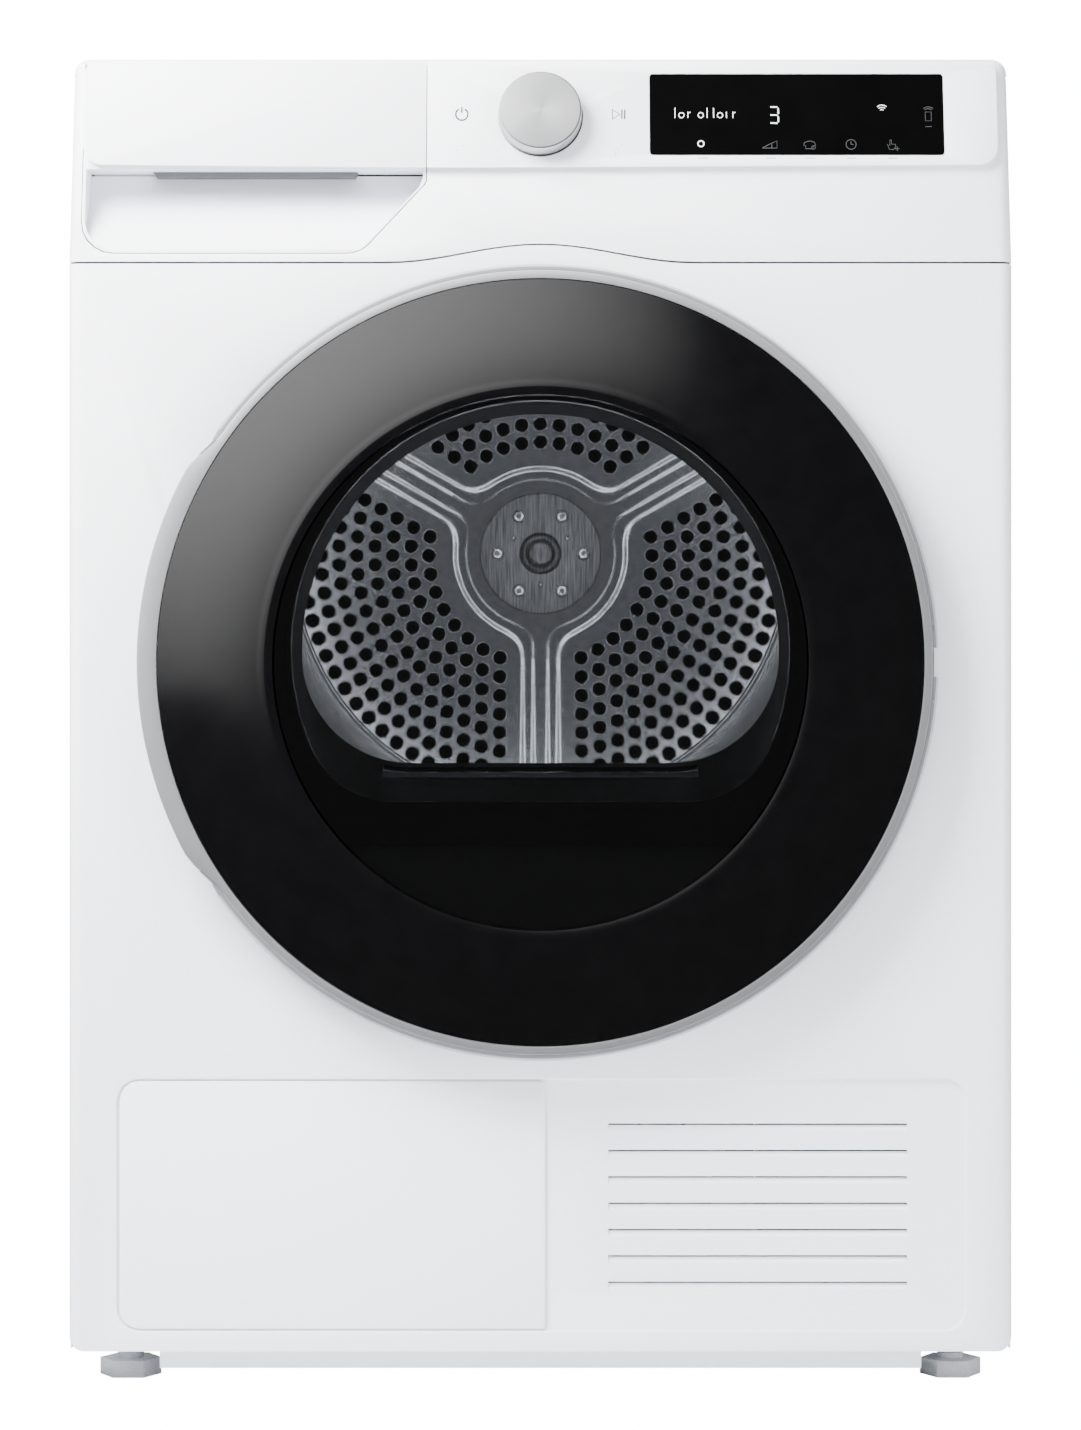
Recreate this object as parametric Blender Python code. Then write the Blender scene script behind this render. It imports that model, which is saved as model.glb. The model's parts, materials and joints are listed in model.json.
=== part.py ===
"""Front-loading heat-pump clothes dryer, modelled piece by piece.

Metres, +Z up. The origin is on the floor under the middle of the whole object. The door faces -Y.
"""

from math import acos, atan2, ceil, cos, hypot, pi, radians, sin, sqrt, tan

import bmesh
import bpy
from mathutils import Matrix, Vector

# Cabinet
HALF_WIDTH = 0.300
FRONT_Y = -0.275  # outer face of the front panel
BACK_Y = 0.325
HEIGHT = 0.850
SHEET = 0.0012
GAP = 0.0005
EDGE_RADIUS = 0.009  # upright front edges
FRONT_DEPTH = 0.0125  # how far the front panel wraps round the sides
PANEL_BOTTOM = 0.0245
SIDE_TOP = 0.8380
COVER_FRONT = -0.2390

# Control panel
SEAM_Z = 0.7165
LEAN = radians(14)
PANEL_TOP = 0.8480
ARCH_HEIGHT = 0.0117
ARCH_HALF = 0.098
SLAB_HALF = 0.292
SLAB_TOP = 0.8462
SLAB_BOTTOM = 0.7773
SLAB_SMILE = 0.0020  # the slab's lower edge rises this much towards its ends
SLAB_PROUD = 0.005
SPLIT_X = -0.0726  # between the tank drawer and the slab

# Door
DOOR_Z = 0.462
DOOR_FRONT = -0.325
TRIM_FRONT = -0.3035
TRIM_INNER = 0.2413
TRIM_FACE = 0.2465
TRIM_BASE = 0.2525
GRIP_FACE = 0.2538
WINDOW_RADIUS = 0.1668
HINGE = (0.243, -0.2925)
HINGE_HALF = 0.022  # half the height of its knuckles
LUG_HALF = 0.0078

# Drum
DRUM_Z = 0.543
DRUM_RADIUS = 0.262
DRUM_FRONT = -0.158
DRUM_BACK = 0.2245
BELT_Y = -0.045

# Tunnel between the door and the drum
TUNNEL_FRONT = -0.272
TUNNEL_BACK = -0.1625
PLATE_Y = -0.1665  # front face of the bulkhead plate
FILTER_HALF = 0.1030
FILTER_Y = (-0.1950, -0.1720)

# Drive train
MOTOR = (0.085, 0.140)
PULLEY_RADIUS = 0.010
IDLER = (0.018, 0.172)
IDLER_RADIUS = 0.018
ROLLER_RADIUS = 0.018
ROLLER_ANGLE = radians(55)  # from the horizontal, at the drum's underside
ROLLER_Y = (-0.150, -0.128)

# Lower front
RECESS = (-0.269, 0.270, 0.0375, 0.1973)
RECESS_FLOOR = -0.2725
FLAP = (-0.2672, 0.0030, 0.0390, 0.1960)
FLAP_PIVOT = (-0.2742, 0.0396)
LOUVRES = 7
LOUVRE_PITCH = 0.01675
LOUVRE_TOP = 0.1690

FOOT_X = 0.266
FOOT_Y = (-0.215, 0.265)


def clear_scene():
    for item in list(bpy.data.objects):
        bpy.data.objects.remove(item, do_unlink=True)


def finish(name, colour, roughness, metallic=0.0, alpha=1.0):
    """A Principled material; the colour is linear red, green and blue."""
    made = bpy.data.materials.new(name)
    made.use_nodes = True
    shader = made.node_tree.nodes["Principled BSDF"]
    shader.inputs["Base Color"].default_value = (*colour, 1.0)
    shader.inputs["Roughness"].default_value = roughness
    shader.inputs["Metallic"].default_value = metallic
    shader.inputs["Alpha"].default_value = alpha
    return made


# ---- outlines, as lists of (across, up) ----


def circle(centre, radius, steps):
    turns = [2 * pi * i / steps for i in range(steps)]
    return [(centre[0] + radius * cos(a), centre[1] + radius * sin(a)) for a in turns]


def arc(centre, radius, start, end, steps):
    turns = [start + (end - start) * i / steps for i in range(steps + 1)]
    return [(centre[0] + radius * cos(a), centre[1] + radius * sin(a)) for a in turns]


def rounded(corners, steps=4):
    """An outline through (across, up, radius) corners, each rounded by its radius."""
    points = []
    for i, (x, z, radius) in enumerate(corners):
        here = Vector((x, z))
        if radius == 0:
            points.append((x, z))
            continue
        before = (Vector(corners[i - 1][:2]) - here).normalized()
        after = (Vector(corners[(i + 1) % len(corners)][:2]) - here).normalized()
        half = acos(max(-1.0, min(1.0, before.dot(after)))) / 2
        centre = here + (before + after).normalized() * (radius / sin(half))
        first = here + before * (radius / tan(half)) - centre
        last = here + after * (radius / tan(half)) - centre
        start = atan2(first.y, first.x)
        turn = (atan2(last.y, last.x) - start + pi) % (2 * pi) - pi
        points += arc(centre, radius, start, start + turn, steps)
    return points


def rectangle(x0, x1, z0, z1, radius=0.0, steps=4):
    corners = [(x0, z0, radius), (x1, z0, radius), (x1, z1, radius), (x0, z1, radius)]
    return rounded(corners, steps)


def d_outline(centre_z, radius, bottom, fillet, steps=30):
    """A circle cut off flat at the bottom, with rounded lower corners."""
    rise = centre_z - bottom - fillet
    across = sqrt((radius - fillet) ** 2 - rise**2)
    lean = atan2(-rise, across)
    side = steps // 5
    top = arc((0, centre_z), radius, lean, pi - lean, steps)
    left = arc((-across, bottom + fillet), fillet, pi - lean, 1.5 * pi, side)
    right = arc((across, bottom + fillet), fillet, -pi / 2, lean, side)
    return top + left[1:] + right[:-1]


def arch(x):
    """How far the seam rises over the door."""
    if abs(x) >= ARCH_HALF:
        return 0.0
    return ARCH_HEIGHT * (1 + cos(pi * x / ARCH_HALF)) / 2


def arched_edge(z, steps=20):
    spots = [ARCH_HALF * (2 * i / steps - 1) for i in range(steps + 1)]
    return [(x, z + arch(x)) for x in spots]


def wrap_section(wall, depth=FRONT_DEPTH):
    """Plan of a front shell whose ends wrap round the sides, as (across, depth)."""
    back = FRONT_Y + depth
    inner = EDGE_RADIUS - wall
    turn = HALF_WIDTH - EDGE_RADIUS
    points = [(-HALF_WIDTH, back)]
    points += arc((-turn, FRONT_Y + EDGE_RADIUS), EDGE_RADIUS, pi, 1.5 * pi, 5)
    points += arc((turn, FRONT_Y + EDGE_RADIUS), EDGE_RADIUS, -pi / 2, 0, 5)
    points += [(HALF_WIDTH, back), (HALF_WIDTH - wall, back)]
    points += arc((turn, FRONT_Y + EDGE_RADIUS), inner, 0, -pi / 2, 5)
    points += arc((-turn, FRONT_Y + EDGE_RADIUS), inner, 1.5 * pi, pi, 5)
    return points + [(-HALF_WIDTH + wall, back)]


def panel_y(z, proud=0.0):
    """Depth of the leaning control panel at a height, this far proud of its face."""
    return FRONT_Y + (z - SEAM_Z) * tan(LEAN) - proud / cos(LEAN)


# ---- solids ----


def place(name, shape, surface, pivot=(0, 0, 0)):
    """Makes an object from a bmesh in world coordinates, with its origin at the pivot."""
    bmesh.ops.recalc_face_normals(shape, faces=shape.faces)
    bmesh.ops.translate(shape, verts=shape.verts, vec=-Vector(pivot))
    mesh = bpy.data.meshes.new(name)
    shape.to_mesh(mesh)
    shape.free()
    mesh.shade_smooth()
    mesh.set_sharp_from_angle(angle=radians(35))
    made = bpy.data.objects.new(name, mesh)
    made.location = pivot
    made.data.materials.append(surface)
    bpy.context.scene.collection.objects.link(made)
    return made


def loft(name, rings, surface, closed=False, pivot=(0, 0, 0)):
    """Joins rings of points in order. The ends are capped, or met when it is closed."""
    shape = bmesh.new()
    loops = [[shape.verts.new(point) for point in ring] for ring in rings]
    count = len(loops[0])
    pairs = list(zip(loops, loops[1:]))
    if closed:
        pairs.append((loops[-1], loops[0]))
    for one, two in pairs:
        for i in range(count):
            j = (i + 1) % count
            shape.faces.new((one[i], one[j], two[j], two[i]))
    if not closed:
        shape.faces.new(loops[0])
        shape.faces.new(loops[-1])
    return place(name, shape, surface, pivot)


def along(axis, point, depth):
    """A world point from an outline point and a depth along the axis that it faces."""
    a, b = point
    return {"X": (depth, a, b), "Y": (a, depth, b), "Z": (a, b, depth)}[axis]


def prism(name, outline, axis, low, high, surface, pivot=(0, 0, 0)):
    rings = [[along(axis, point, depth) for point in outline] for depth in (low, high)]
    return loft(name, rings, surface, pivot=pivot)


def block(name, low, high, surface, pivot=(0, 0, 0)):
    outline = rectangle(low[0], high[0], low[2], high[2])
    return prism(name, outline, "Y", low[1], high[1], surface, pivot)


def leaning(name, outline, proud, back, surface, pivot=(0, 0, 0)):
    """A slab in the control panel's plane: its sides run along Y, so it can slide out."""
    front = [(x, panel_y(z, proud), z) for x, z in outline]
    rear = [(x, back(z), z) for x, z in outline]
    return loft(name, [front, rear], surface, pivot=pivot)


def turned(name, profile, centre, surface, axis="Y", steps=48, pivot=(0, 0, 0)):
    """Spins a closed profile of (radius, depth) points about an axis through the centre."""
    rings = []
    for i in range(steps):
        a = 2 * pi * i / steps
        ring = []
        for radius, depth in profile:
            u, v = centre[0] + radius * cos(a), centre[1] + radius * sin(a)
            ring.append(along(axis, (u, v), depth))
        rings.append(ring)
    return loft(name, rings, surface, closed=True, pivot=pivot)


def rod(name, centre, radius, low, high, surface, axis="Y", steps=16, pivot=(0, 0, 0)):
    return prism(name, circle(centre, radius, steps), axis, low, high, surface, pivot)


def stepped_rod(name, stages, centre, surface, axis="Y", steps=24, pivot=(0, 0, 0)):
    """A solid of revolution without a bore, from (radius, depth) stages."""
    rings = []
    for radius, depth in stages:
        outline = circle(centre, radius, steps)
        rings.append([along(axis, point, depth) for point in outline])
    return loft(name, rings, surface, pivot=pivot)


def smooth_route(points, spacing):
    """Points read at even spacing from one smooth curve through the route's points."""
    ends = [points[0]] + list(points) + [points[-1]]
    ends = [Vector(point) for point in ends]
    found = []
    for p0, p1, p2, p3 in zip(ends, ends[1:], ends[2:], ends[3:]):
        steps = max(2, ceil((p2 - p1).length / spacing))
        for i in range(steps):
            t = i / steps
            bend = 2 * p0 - 5 * p1 + 4 * p2 - p3
            twist = 3 * p1 - p0 - 3 * p2 + p3
            found.append((2 * p1 + (p2 - p0) * t + bend * t**2 + twist * t**3) / 2)
    return found + [Vector(points[-1])]


def pipe(name, points, radius, surface):
    route = smooth_route(points, 5 * radius)
    data = bpy.data.curves.new(name, "CURVE")
    data.dimensions = "3D"
    data.bevel_depth = radius
    data.bevel_resolution = 2
    data.use_fill_caps = True
    spline = data.splines.new("POLY")
    spline.points.add(len(route) - 1)
    for spot, point in zip(spline.points, route):
        spot.co = (*point, 1.0)
    made = bpy.data.objects.new(name, data)
    made.data.materials.append(surface)
    bpy.context.scene.collection.objects.link(made)
    return made


def combine(target, operation, helpers):
    for helper in helpers:
        step = target.modifiers.new(helper.name, "BOOLEAN")
        step.operation = operation
        step.object = helper
        helper.hide_render = True
        helper.display_type = "WIRE"
    return target


def cut(target, *helpers):
    return combine(target, "DIFFERENCE", helpers)


def join(target, *helpers):
    return combine(target, "UNION", helpers)


def keep(target, *helpers):
    return combine(target, "INTERSECT", helpers)


# ---- cabinet ----


def make_base_tray(plastic):
    tray = block("base_tray", (-0.2975, -0.2600, 0.0240), (0.2975, 0.3220, 0.0620), plastic)
    hollow = block("tray_hollow", (-0.2935, -0.2560, 0.0280), (0.2935, 0.3180, 0.0700), plastic)
    plinth = block("tray_plinth", (-0.2435, -0.2555, 0.0106), (0.2435, 0.3150, 0.0250), plastic)
    under = block("plinth_hollow", (-0.2395, -0.2515, 0.0050), (0.2395, 0.3110, 0.0215), plastic)
    join(tray, plinth)
    cut(tray, hollow, under)
    for x in (-FOOT_X, FOOT_X):
        for y in FOOT_Y:
            boss = rod("tray_boss", (x, y), 0.011, 0.0250, 0.0500, plastic, "Z")
            bore = rod("tray_bore", (x, y), 0.0052, 0.0100, 0.0700, plastic, "Z", 12)
            join(tray, boss)
            cut(tray, bore)


def make_side_panel(name, side, enamel):
    """Sheet with inward flanges. Its front edge follows the control panel's lean."""
    front = FRONT_Y + FRONT_DEPTH + GAP
    rear = BACK_Y - 0.0014
    lean_top = front + (SIDE_TOP - SEAM_Z) * tan(LEAN)
    sheet = [
        (front, PANEL_BOTTOM),
        (rear, PANEL_BOTTOM),
        (rear, SIDE_TOP),
        (lean_top, SIDE_TOP),
        (front, SEAM_Z),
    ]
    outer, inner = side * HALF_WIDTH, side * (HALF_WIDTH - SHEET)
    panel = prism(name, sheet, "X", min(outer, inner), max(outer, inner), enamel)
    reach = sorted((side * (HALF_WIDTH - SHEET / 2), side * (HALF_WIDTH - 0.018)))
    for label, y0 in (("front_flange", front), ("rear_flange", rear - SHEET)):
        top = SEAM_Z - 0.010 if label == "front_flange" else SIDE_TOP - 0.002
        flange = block(
            f"{name}_{label}",
            (reach[0], y0 + 0.0001, PANEL_BOTTOM + 0.002),
            (reach[1], y0 + SHEET - 0.0001, top),
            enamel,
        )
        join(panel, flange)
    return panel


def make_back_panel(steel):
    """Rear sheet with a row of slots behind the compressor."""
    outline = rectangle(-0.2985, 0.2985, PANEL_BOTTOM, SIDE_TOP - 0.0003, 0.006)
    panel = prism("back_panel", outline, "Y", BACK_Y - 0.0011, BACK_Y, steel)
    for i in range(6):
        z = 0.110 + 0.018 * i
        slot = rectangle(0.110, 0.240, z, z + 0.006)
        cut(panel, prism("back_slot", slot, "Y", BACK_Y - 0.010, BACK_Y + 0.010, steel))
    gland_hole = rod("gland_hole", (-0.235, 0.120), 0.0135, 0.310, 0.340, steel)
    return cut(panel, gland_hole)


def cover_room(name):
    """Room for the top cover behind the upper edge of the control panel and the drawer."""
    return block(name, (-0.310, COVER_FRONT - 0.0005, SIDE_TOP - 0.0002), (0.310, -0.200, 0.870), None)


def make_top_cover(enamel):
    """Worktop with rounded upper corners, hollow underneath."""
    radius = 0.010
    corners = [
        (-HALF_WIDTH, SIDE_TOP + 0.0005, 0),
        (HALF_WIDTH, SIDE_TOP + 0.0005, 0),
        (HALF_WIDTH, HEIGHT, radius),
        (-HALF_WIDTH, HEIGHT, radius),
    ]
    cover = prism("top_cover", rounded(corners, 5), "Y", COVER_FRONT, BACK_Y, enamel)
    hollow = block("top_hollow", (-0.292, -0.232, 0.830), (0.292, 0.318, 0.8455), enamel)
    return cut(cover, hollow)


def make_front_panel(enamel):
    section = wrap_section(SHEET)
    rings = [[(x, y, z) for x, y in section] for z in (PANEL_BOTTOM, SEAM_Z + 0.020)]
    panel = loft("front_panel", rings, enamel)

    edge = HALF_WIDTH + 0.0003
    top = SEAM_Z - 0.0013
    corners = [(edge, top, 0), (-edge, top, 0), (-edge, PANEL_BOTTOM - 0.0002, 0.011)]
    corners.append((edge, PANEL_BOTTOM - 0.0002, 0.011))
    lower = rounded(corners, 5)
    outline = lower[:1] + arched_edge(top)[::-1] + lower[1:]
    keep(panel, prism("front_outline", outline, "Y", -0.290, -0.250, enamel))

    x0, x1, z0, z1 = RECESS
    rim = 0.004
    backing = rectangle(x0 - rim, x1 + rim, z0 - rim, z1 + rim, 0.016)
    join(panel, prism("recess_back", backing, "Y", -0.2745, RECESS_FLOOR + SHEET, enamel))
    low = LOUVRE_TOP - LOUVRES * LOUVRE_PITCH
    join(panel, block("louvre_back", (0.0370, -0.2735, low), (0.2390, -0.2690, LOUVRE_TOP + 0.0060), enamel))
    pressed = rectangle(*RECESS, 0.014)
    cut(panel, prism("recess_front", pressed, "Y", -0.290, RECESS_FLOOR, enamel))
    hatch = rectangle(x0 + 0.014, -0.012, z0 + 0.014, z1 - 0.012, 0.008)
    cut(panel, prism("flap_hatch", hatch, "Y", -0.290, -0.260, enamel))
    for i in range(LOUVRES):
        z = LOUVRE_TOP - i * LOUVRE_PITCH
        # a thin slit with a shallow scoop sloping out below it
        sill = z - 0.0012
        scoop = [(-0.2740, z), (-0.2740, z - 0.0072), (-0.2704, sill), (-0.2660, sill), (-0.2660, z)]
        cut(panel, prism("louvre", scoop, "X", 0.0430, 0.2330, enamel))

    cut(panel, rod("door_hole", (0, DOOR_Z + 0.004), 0.1825, -0.290, -0.255, enamel, steps=64))
    hook_slot = rectangle(-0.2140, -0.1980, DOOR_Z - 0.016, DOOR_Z + 0.016)
    return cut(panel, prism("hook_slot", hook_slot, "Y", -0.290, -0.255, enamel))


def tank_outline(grow=0.0, top=SLAB_TOP):
    """Front outline of the tank drawer: a slab with a handle pocket under it."""
    left, right = -SLAB_HALF - grow, SPLIT_X - 0.0004 + grow
    low = 0.7222 - grow
    corners = [
        (left, top, 0.006),
        (left, low, 0.021),
        (-0.1148 + grow / 2, low, 0.020),
        (right, 0.7683 - grow / 2, 0.006),
        (right, top, 0),
    ]
    return rounded(corners, 5)


def slab_edge(x0, x1, steps=8):
    """Lower edge of the raised slab, which rises a little towards its ends."""
    spots = [x0 + (x1 - x0) * i / steps for i in range(steps + 1)]
    return [(x, SLAB_BOTTOM + SLAB_SMILE * (x / SLAB_HALF) ** 2) for x in spots]


def display_outline(grow=0.0):
    return rectangle(0.0700 - grow, 0.2576 + grow, 0.7857 - grow, 0.8389 + grow, 0.002, 3)


def knob_axis():
    """Centre of the knob on the slab's face, and the direction that it points in."""
    z = 0.8108
    return Vector((0, panel_y(z, SLAB_PROUD), z)), Vector((0, -cos(LEAN), sin(LEAN)))


def on_knob(name, stages, surface, steps=40, pivot=(0, 0, 0)):
    """A turned piece on the knob's axis, from (radius, height above the slab) stages."""
    centre, out = knob_axis()
    up = Vector((0, sin(LEAN), cos(LEAN)))
    rings = []
    for radius, height in stages:
        middle = centre + out * height
        turns = circle((0, 0), 1, steps)
        ring = [middle + Vector((radius * x, 0, 0)) + up * (radius * z) for x, z in turns]
        rings.append(ring)
    return loft(name, rings, surface, pivot=pivot)


def make_control_panel(enamel):
    section = wrap_section(0.003)
    rings = []
    for z in (SEAM_Z - 0.002, PANEL_TOP + 0.002):
        rings.append([(x, y + (z - SEAM_Z) * tan(LEAN), z) for x, y in section])
    panel = loft("control_panel", rings, enamel)

    edge = HALF_WIDTH + 0.0003
    corners = [(edge, PANEL_TOP, 0.010), (-edge, PANEL_TOP, 0.010), (-edge, SEAM_Z, 0), (edge, SEAM_Z, 0)]
    upper = rounded(corners, 5)
    outline = upper[:-1] + arched_edge(SEAM_Z) + upper[-1:]
    keep(panel, prism("panel_outline", outline, "Y", -0.290, -0.200, enamel))

    lower = slab_edge(SPLIT_X - 0.010, SLAB_HALF - 0.0125)
    bottom = SLAB_BOTTOM + SLAB_SMILE
    corner = arc((SLAB_HALF - 0.0125, bottom + 0.0125), 0.0125, -pi / 2, 0, 5)
    head = arc((SLAB_HALF - 0.006, SLAB_TOP - 0.006), 0.006, 0, pi / 2, 4)
    outline = lower[:-1] + corner + head + [(SPLIT_X - 0.010, SLAB_TOP)]
    slab = leaning("panel_slab", outline, SLAB_PROUD, lambda z: panel_y(z, -0.0015), enamel)
    join(panel, slab)

    opening = prism("tank_opening", tank_outline(0.0006, 0.870), "Y", -0.320, -0.200, enamel)
    pocket = leaning("display_pocket", display_outline(0.0003), 0.010, lambda z: panel_y(z, 0.0027), enamel)
    bore = on_knob("knob_bore", [(0.0045, -0.030), (0.0045, 0.010)], enamel, 12)
    return cut(panel, opening, pocket, bore, cover_room("panel_cover_room"))


def make_display(gloss):
    def back(z):
        return panel_y(z, 0.0030)

    return leaning("display_window", display_outline(), SLAB_PROUD + 0.0002, back, gloss)


def make_knob(metal):
    stages = [
        (0.0040, -0.0080),
        (0.0040, 0.0010),
        (0.0258, 0.0010),
        (0.0265, 0.0020),
        (0.0263, 0.0100),
        (0.0246, 0.0125),
        (0.0235, 0.0128),
    ]
    centre, _ = knob_axis()
    return on_knob("selector_knob", stages, metal, pivot=centre)


def make_control_board(plastic):
    box = block("control_board_box", (0.055, -0.2200, 0.7400), (0.285, -0.1720, 0.8300), plastic)
    hollow = block("board_hollow", (0.059, -0.2300, 0.7440), (0.281, -0.1760, 0.8260), plastic)
    return cut(box, hollow)


# ---- condensate tank ----


def scoop_edges(z):
    """Left and right ends of the handle pocket at a height."""
    inset = 0.0020
    low, radius = 0.7222 + inset, 0.019
    left = -SLAB_HALF + inset
    if z < low + radius:
        left += radius - sqrt(max(0.0, radius**2 - (low + radius - z) ** 2))
    right = min(SPLIT_X - 0.0004 - inset, -0.1148 - inset * 0.7 + (z - low + inset) / 1.11)
    return left, right


def make_tank_front(enamel):
    """Drawer front: flush plate, raised slab and the pocket that a hand pulls it by."""
    back = -0.2290
    front = leaning("tank_front", tank_outline(), 0.0, lambda z: back, enamel)
    left = arc((-SLAB_HALF + 0.0125, SLAB_BOTTOM + SLAB_SMILE + 0.0125), 0.0125, pi, 1.5 * pi, 5)
    lower = slab_edge(-SLAB_HALF + 0.0125, SPLIT_X - 0.0004)
    head = arc((-SLAB_HALF + 0.006, SLAB_TOP - 0.006), 0.006, pi / 2, pi, 4)
    outline = left + lower[1:] + [(SPLIT_X - 0.0004, SLAB_TOP)] + head
    slab = leaning("tank_slab", outline, SLAB_PROUD, lambda z: panel_y(z, -0.010), enamel)
    low, high = 0.7242, SLAB_BOTTOM - 0.0004
    rings = []
    steps = 9
    for i in range(steps + 1):
        t = i / steps
        z = low + (high - low) * t
        x0, x1 = scoop_edges(z)
        x1 = max(x1, x0 + 0.010)
        deep = panel_y(z, -0.0300 * sin(t * pi / 2) ** 1.5 - 0.0004)
        face = panel_y(z, 0.010)
        rings.append([(x0, face, z), (x1, face, z), (x1, deep, z), (x0, deep, z)])
    join(front, slab)
    return cut(front, loft("tank_scoop", rings, enamel), cover_room("tank_cover_room"))


def make_tank_body(plastic):
    body = block("tank_body", (-0.2880, -0.2285, 0.7690), (-0.1560, 0.2150, 0.8350), plastic)
    hollow = block("tank_hollow", (-0.2860, -0.2265, 0.7710), (-0.1580, 0.2130, 0.8330), plastic)
    spout = rod("tank_spout", (-0.222, -0.190), 0.014, 0.828, 0.840, plastic, "Z")
    return cut(body, hollow, spout)


def make_tank_tray(plastic):
    section = [
        (-0.2905, 0.8000),
        (-0.2905, 0.7650),
        (-0.1510, 0.7650),
        (-0.1510, 0.8000),
        (-0.1530, 0.8000),
        (-0.1530, 0.7670),
        (-0.2885, 0.7670),
        (-0.2885, 0.8000),
    ]
    return prism("tank_tray", section, "Y", -0.2200, 0.2350, plastic)


# ---- door ----


def make_door_ring(gloss):
    back = -0.3003
    profile = [
        (WINDOW_RADIUS + 0.0004, back),
        (WINDOW_RADIUS + 0.0004, -0.3195),
        (0.1740, -0.3232),
        (0.1840, DOOR_FRONT),
        (0.1960, -0.3243),
        (0.2110, -0.3200),
        (0.2260, -0.3128),
        (TRIM_INNER - 0.0004, TRIM_FRONT + 0.0005),
        (TRIM_INNER - 0.0004, back),
    ]
    return turned("door_ring", profile, (0, DOOR_Z), gloss, steps=54, pivot=(*HINGE, DOOR_Z))


def grip_share(angle):
    """1 where the trim widens into the grip on the left, falling to 0 beyond its ends."""
    inner, outer = radians(28), radians(36)
    off = abs(angle - pi)
    t = min(1.0, max(0.0, (outer - off) / (outer - inner)))
    return t * t * (3 - 2 * t)


def make_door_trim(silver):
    """Silver ring round the door. On the left it widens, and is hollow behind, as a grip."""
    plain = [
        (TRIM_INNER, -0.2790),
        (TRIM_INNER, TRIM_FRONT),
        (TRIM_FACE, TRIM_FRONT),
        (TRIM_FACE + 0.0012, -0.3010),
        (TRIM_BASE - 0.0008, -0.2840),
        (TRIM_BASE, -0.2790),
    ]
    grip = [
        (TRIM_INNER, -0.2790),
        (TRIM_INNER, TRIM_FRONT),
        (GRIP_FACE, TRIM_FRONT),
        (GRIP_FACE + 0.0007, -0.3005),
        (TRIM_INNER + 0.0035, -0.2960),
        (TRIM_INNER + 0.0030, -0.2790),
    ]
    rings = []
    steps = 72
    for i in range(steps):
        a = 2 * pi * i / steps
        share = grip_share(a)
        ring = []
        for (r0, y0), (r1, y1) in zip(plain, grip):
            radius, depth = r0 + (r1 - r0) * share, y0 + (y1 - y0) * share
            ring.append((radius * cos(a), depth, DOOR_Z + radius * sin(a)))
        rings.append(ring)
    trim = loft("door_trim", rings, silver, closed=True, pivot=(*HINGE, DOOR_Z))
    return cut(trim, *hinge_rooms())


def hinge_rooms():
    """Room in the door for the knuckles, and a notch that the cabinet's lug swings through."""
    x, y = HINGE
    high = HINGE_HALF + 0.0015
    low_corner, high_corner = (x - 0.0245, y - 0.0060, DOOR_Z - high), (x + 0.0045, -0.2700, DOOR_Z + high)
    pocket = block("hinge_pocket", low_corner, high_corner, None)
    wide = LUG_HALF + 0.0010
    low_corner, high_corner = (x - 0.0055, -0.3010, DOOR_Z - wide), (x + 0.0190, -0.2700, DOOR_Z + wide)
    notch = block("hinge_notch", low_corner, high_corner, None)
    return pocket, notch


def make_door_window(glass):
    pivot = (*HINGE, DOOR_Z)
    return rod("door_window", (0, DOOR_Z), WINDOW_RADIUS, -0.3190, -0.3165, glass, steps=72, pivot=pivot)


def ring_at(outline, y):
    return [(x, y, z) for x, z in outline]


def make_door_glass(glass):
    """Moulded glass bowl that reaches into the tunnel, flat at the bottom like the tunnel."""
    wall = 0.0035
    root, end = (0.470, 0.1570, 0.3740, 0.056), (0.476, 0.1280, 0.4080, 0.050)

    def inside(size):
        return size[0], size[1] - wall, size[2] + wall, size[3] - wall

    rings = [
        ring_at(d_outline(*inside(end)), -0.2150),
        ring_at(d_outline(*inside(root)), -0.2990),
        ring_at(d_outline(*root), -0.2990),
        ring_at(d_outline(*root), -0.2830),
        ring_at(d_outline(*end), -0.2115),
    ]
    return loft("door_glass", rings, glass, pivot=(*HINGE, DOOR_Z))


def make_door_inner_frame(plastic):
    pivot = (*HINGE, DOOR_Z)
    frame = rod("door_inner_frame", (0, DOOR_Z), 0.2408, -0.2998, -0.2812, plastic, steps=72, pivot=pivot)
    opening = prism("frame_opening", d_outline(0.470, 0.1575, 0.3735, 0.056), "Y", -0.320, -0.260, plastic)
    low, high = (-0.2125, -0.2980, DOOR_Z - 0.0125), (-0.1995, -0.2700, DOOR_Z + 0.0125)
    hook_seat = block("hook_seat", low, high, plastic)
    return cut(frame, opening, *hinge_rooms(), hook_seat)


def make_door_hook(steel):
    """Striker with a hooked nose, which the catch behind the front panel holds."""
    side = [
        (-0.2977, DOOR_Z - 0.0120),
        (-0.2977, DOOR_Z + 0.0120),
        (-0.2830, DOOR_Z + 0.0120),
        (-0.2800, DOOR_Z + 0.0060),
        (-0.2560, DOOR_Z + 0.0060),
        (-0.2560, DOOR_Z - 0.0080),
        (-0.2600, DOOR_Z - 0.0080),
        (-0.2650, DOOR_Z - 0.0030),
        (-0.2800, DOOR_Z - 0.0030),
        (-0.2830, DOOR_Z - 0.0120),
    ]
    return prism("door_hook", side, "X", -0.2090, -0.2030, steel, pivot=(*HINGE, DOOR_Z))


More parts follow.
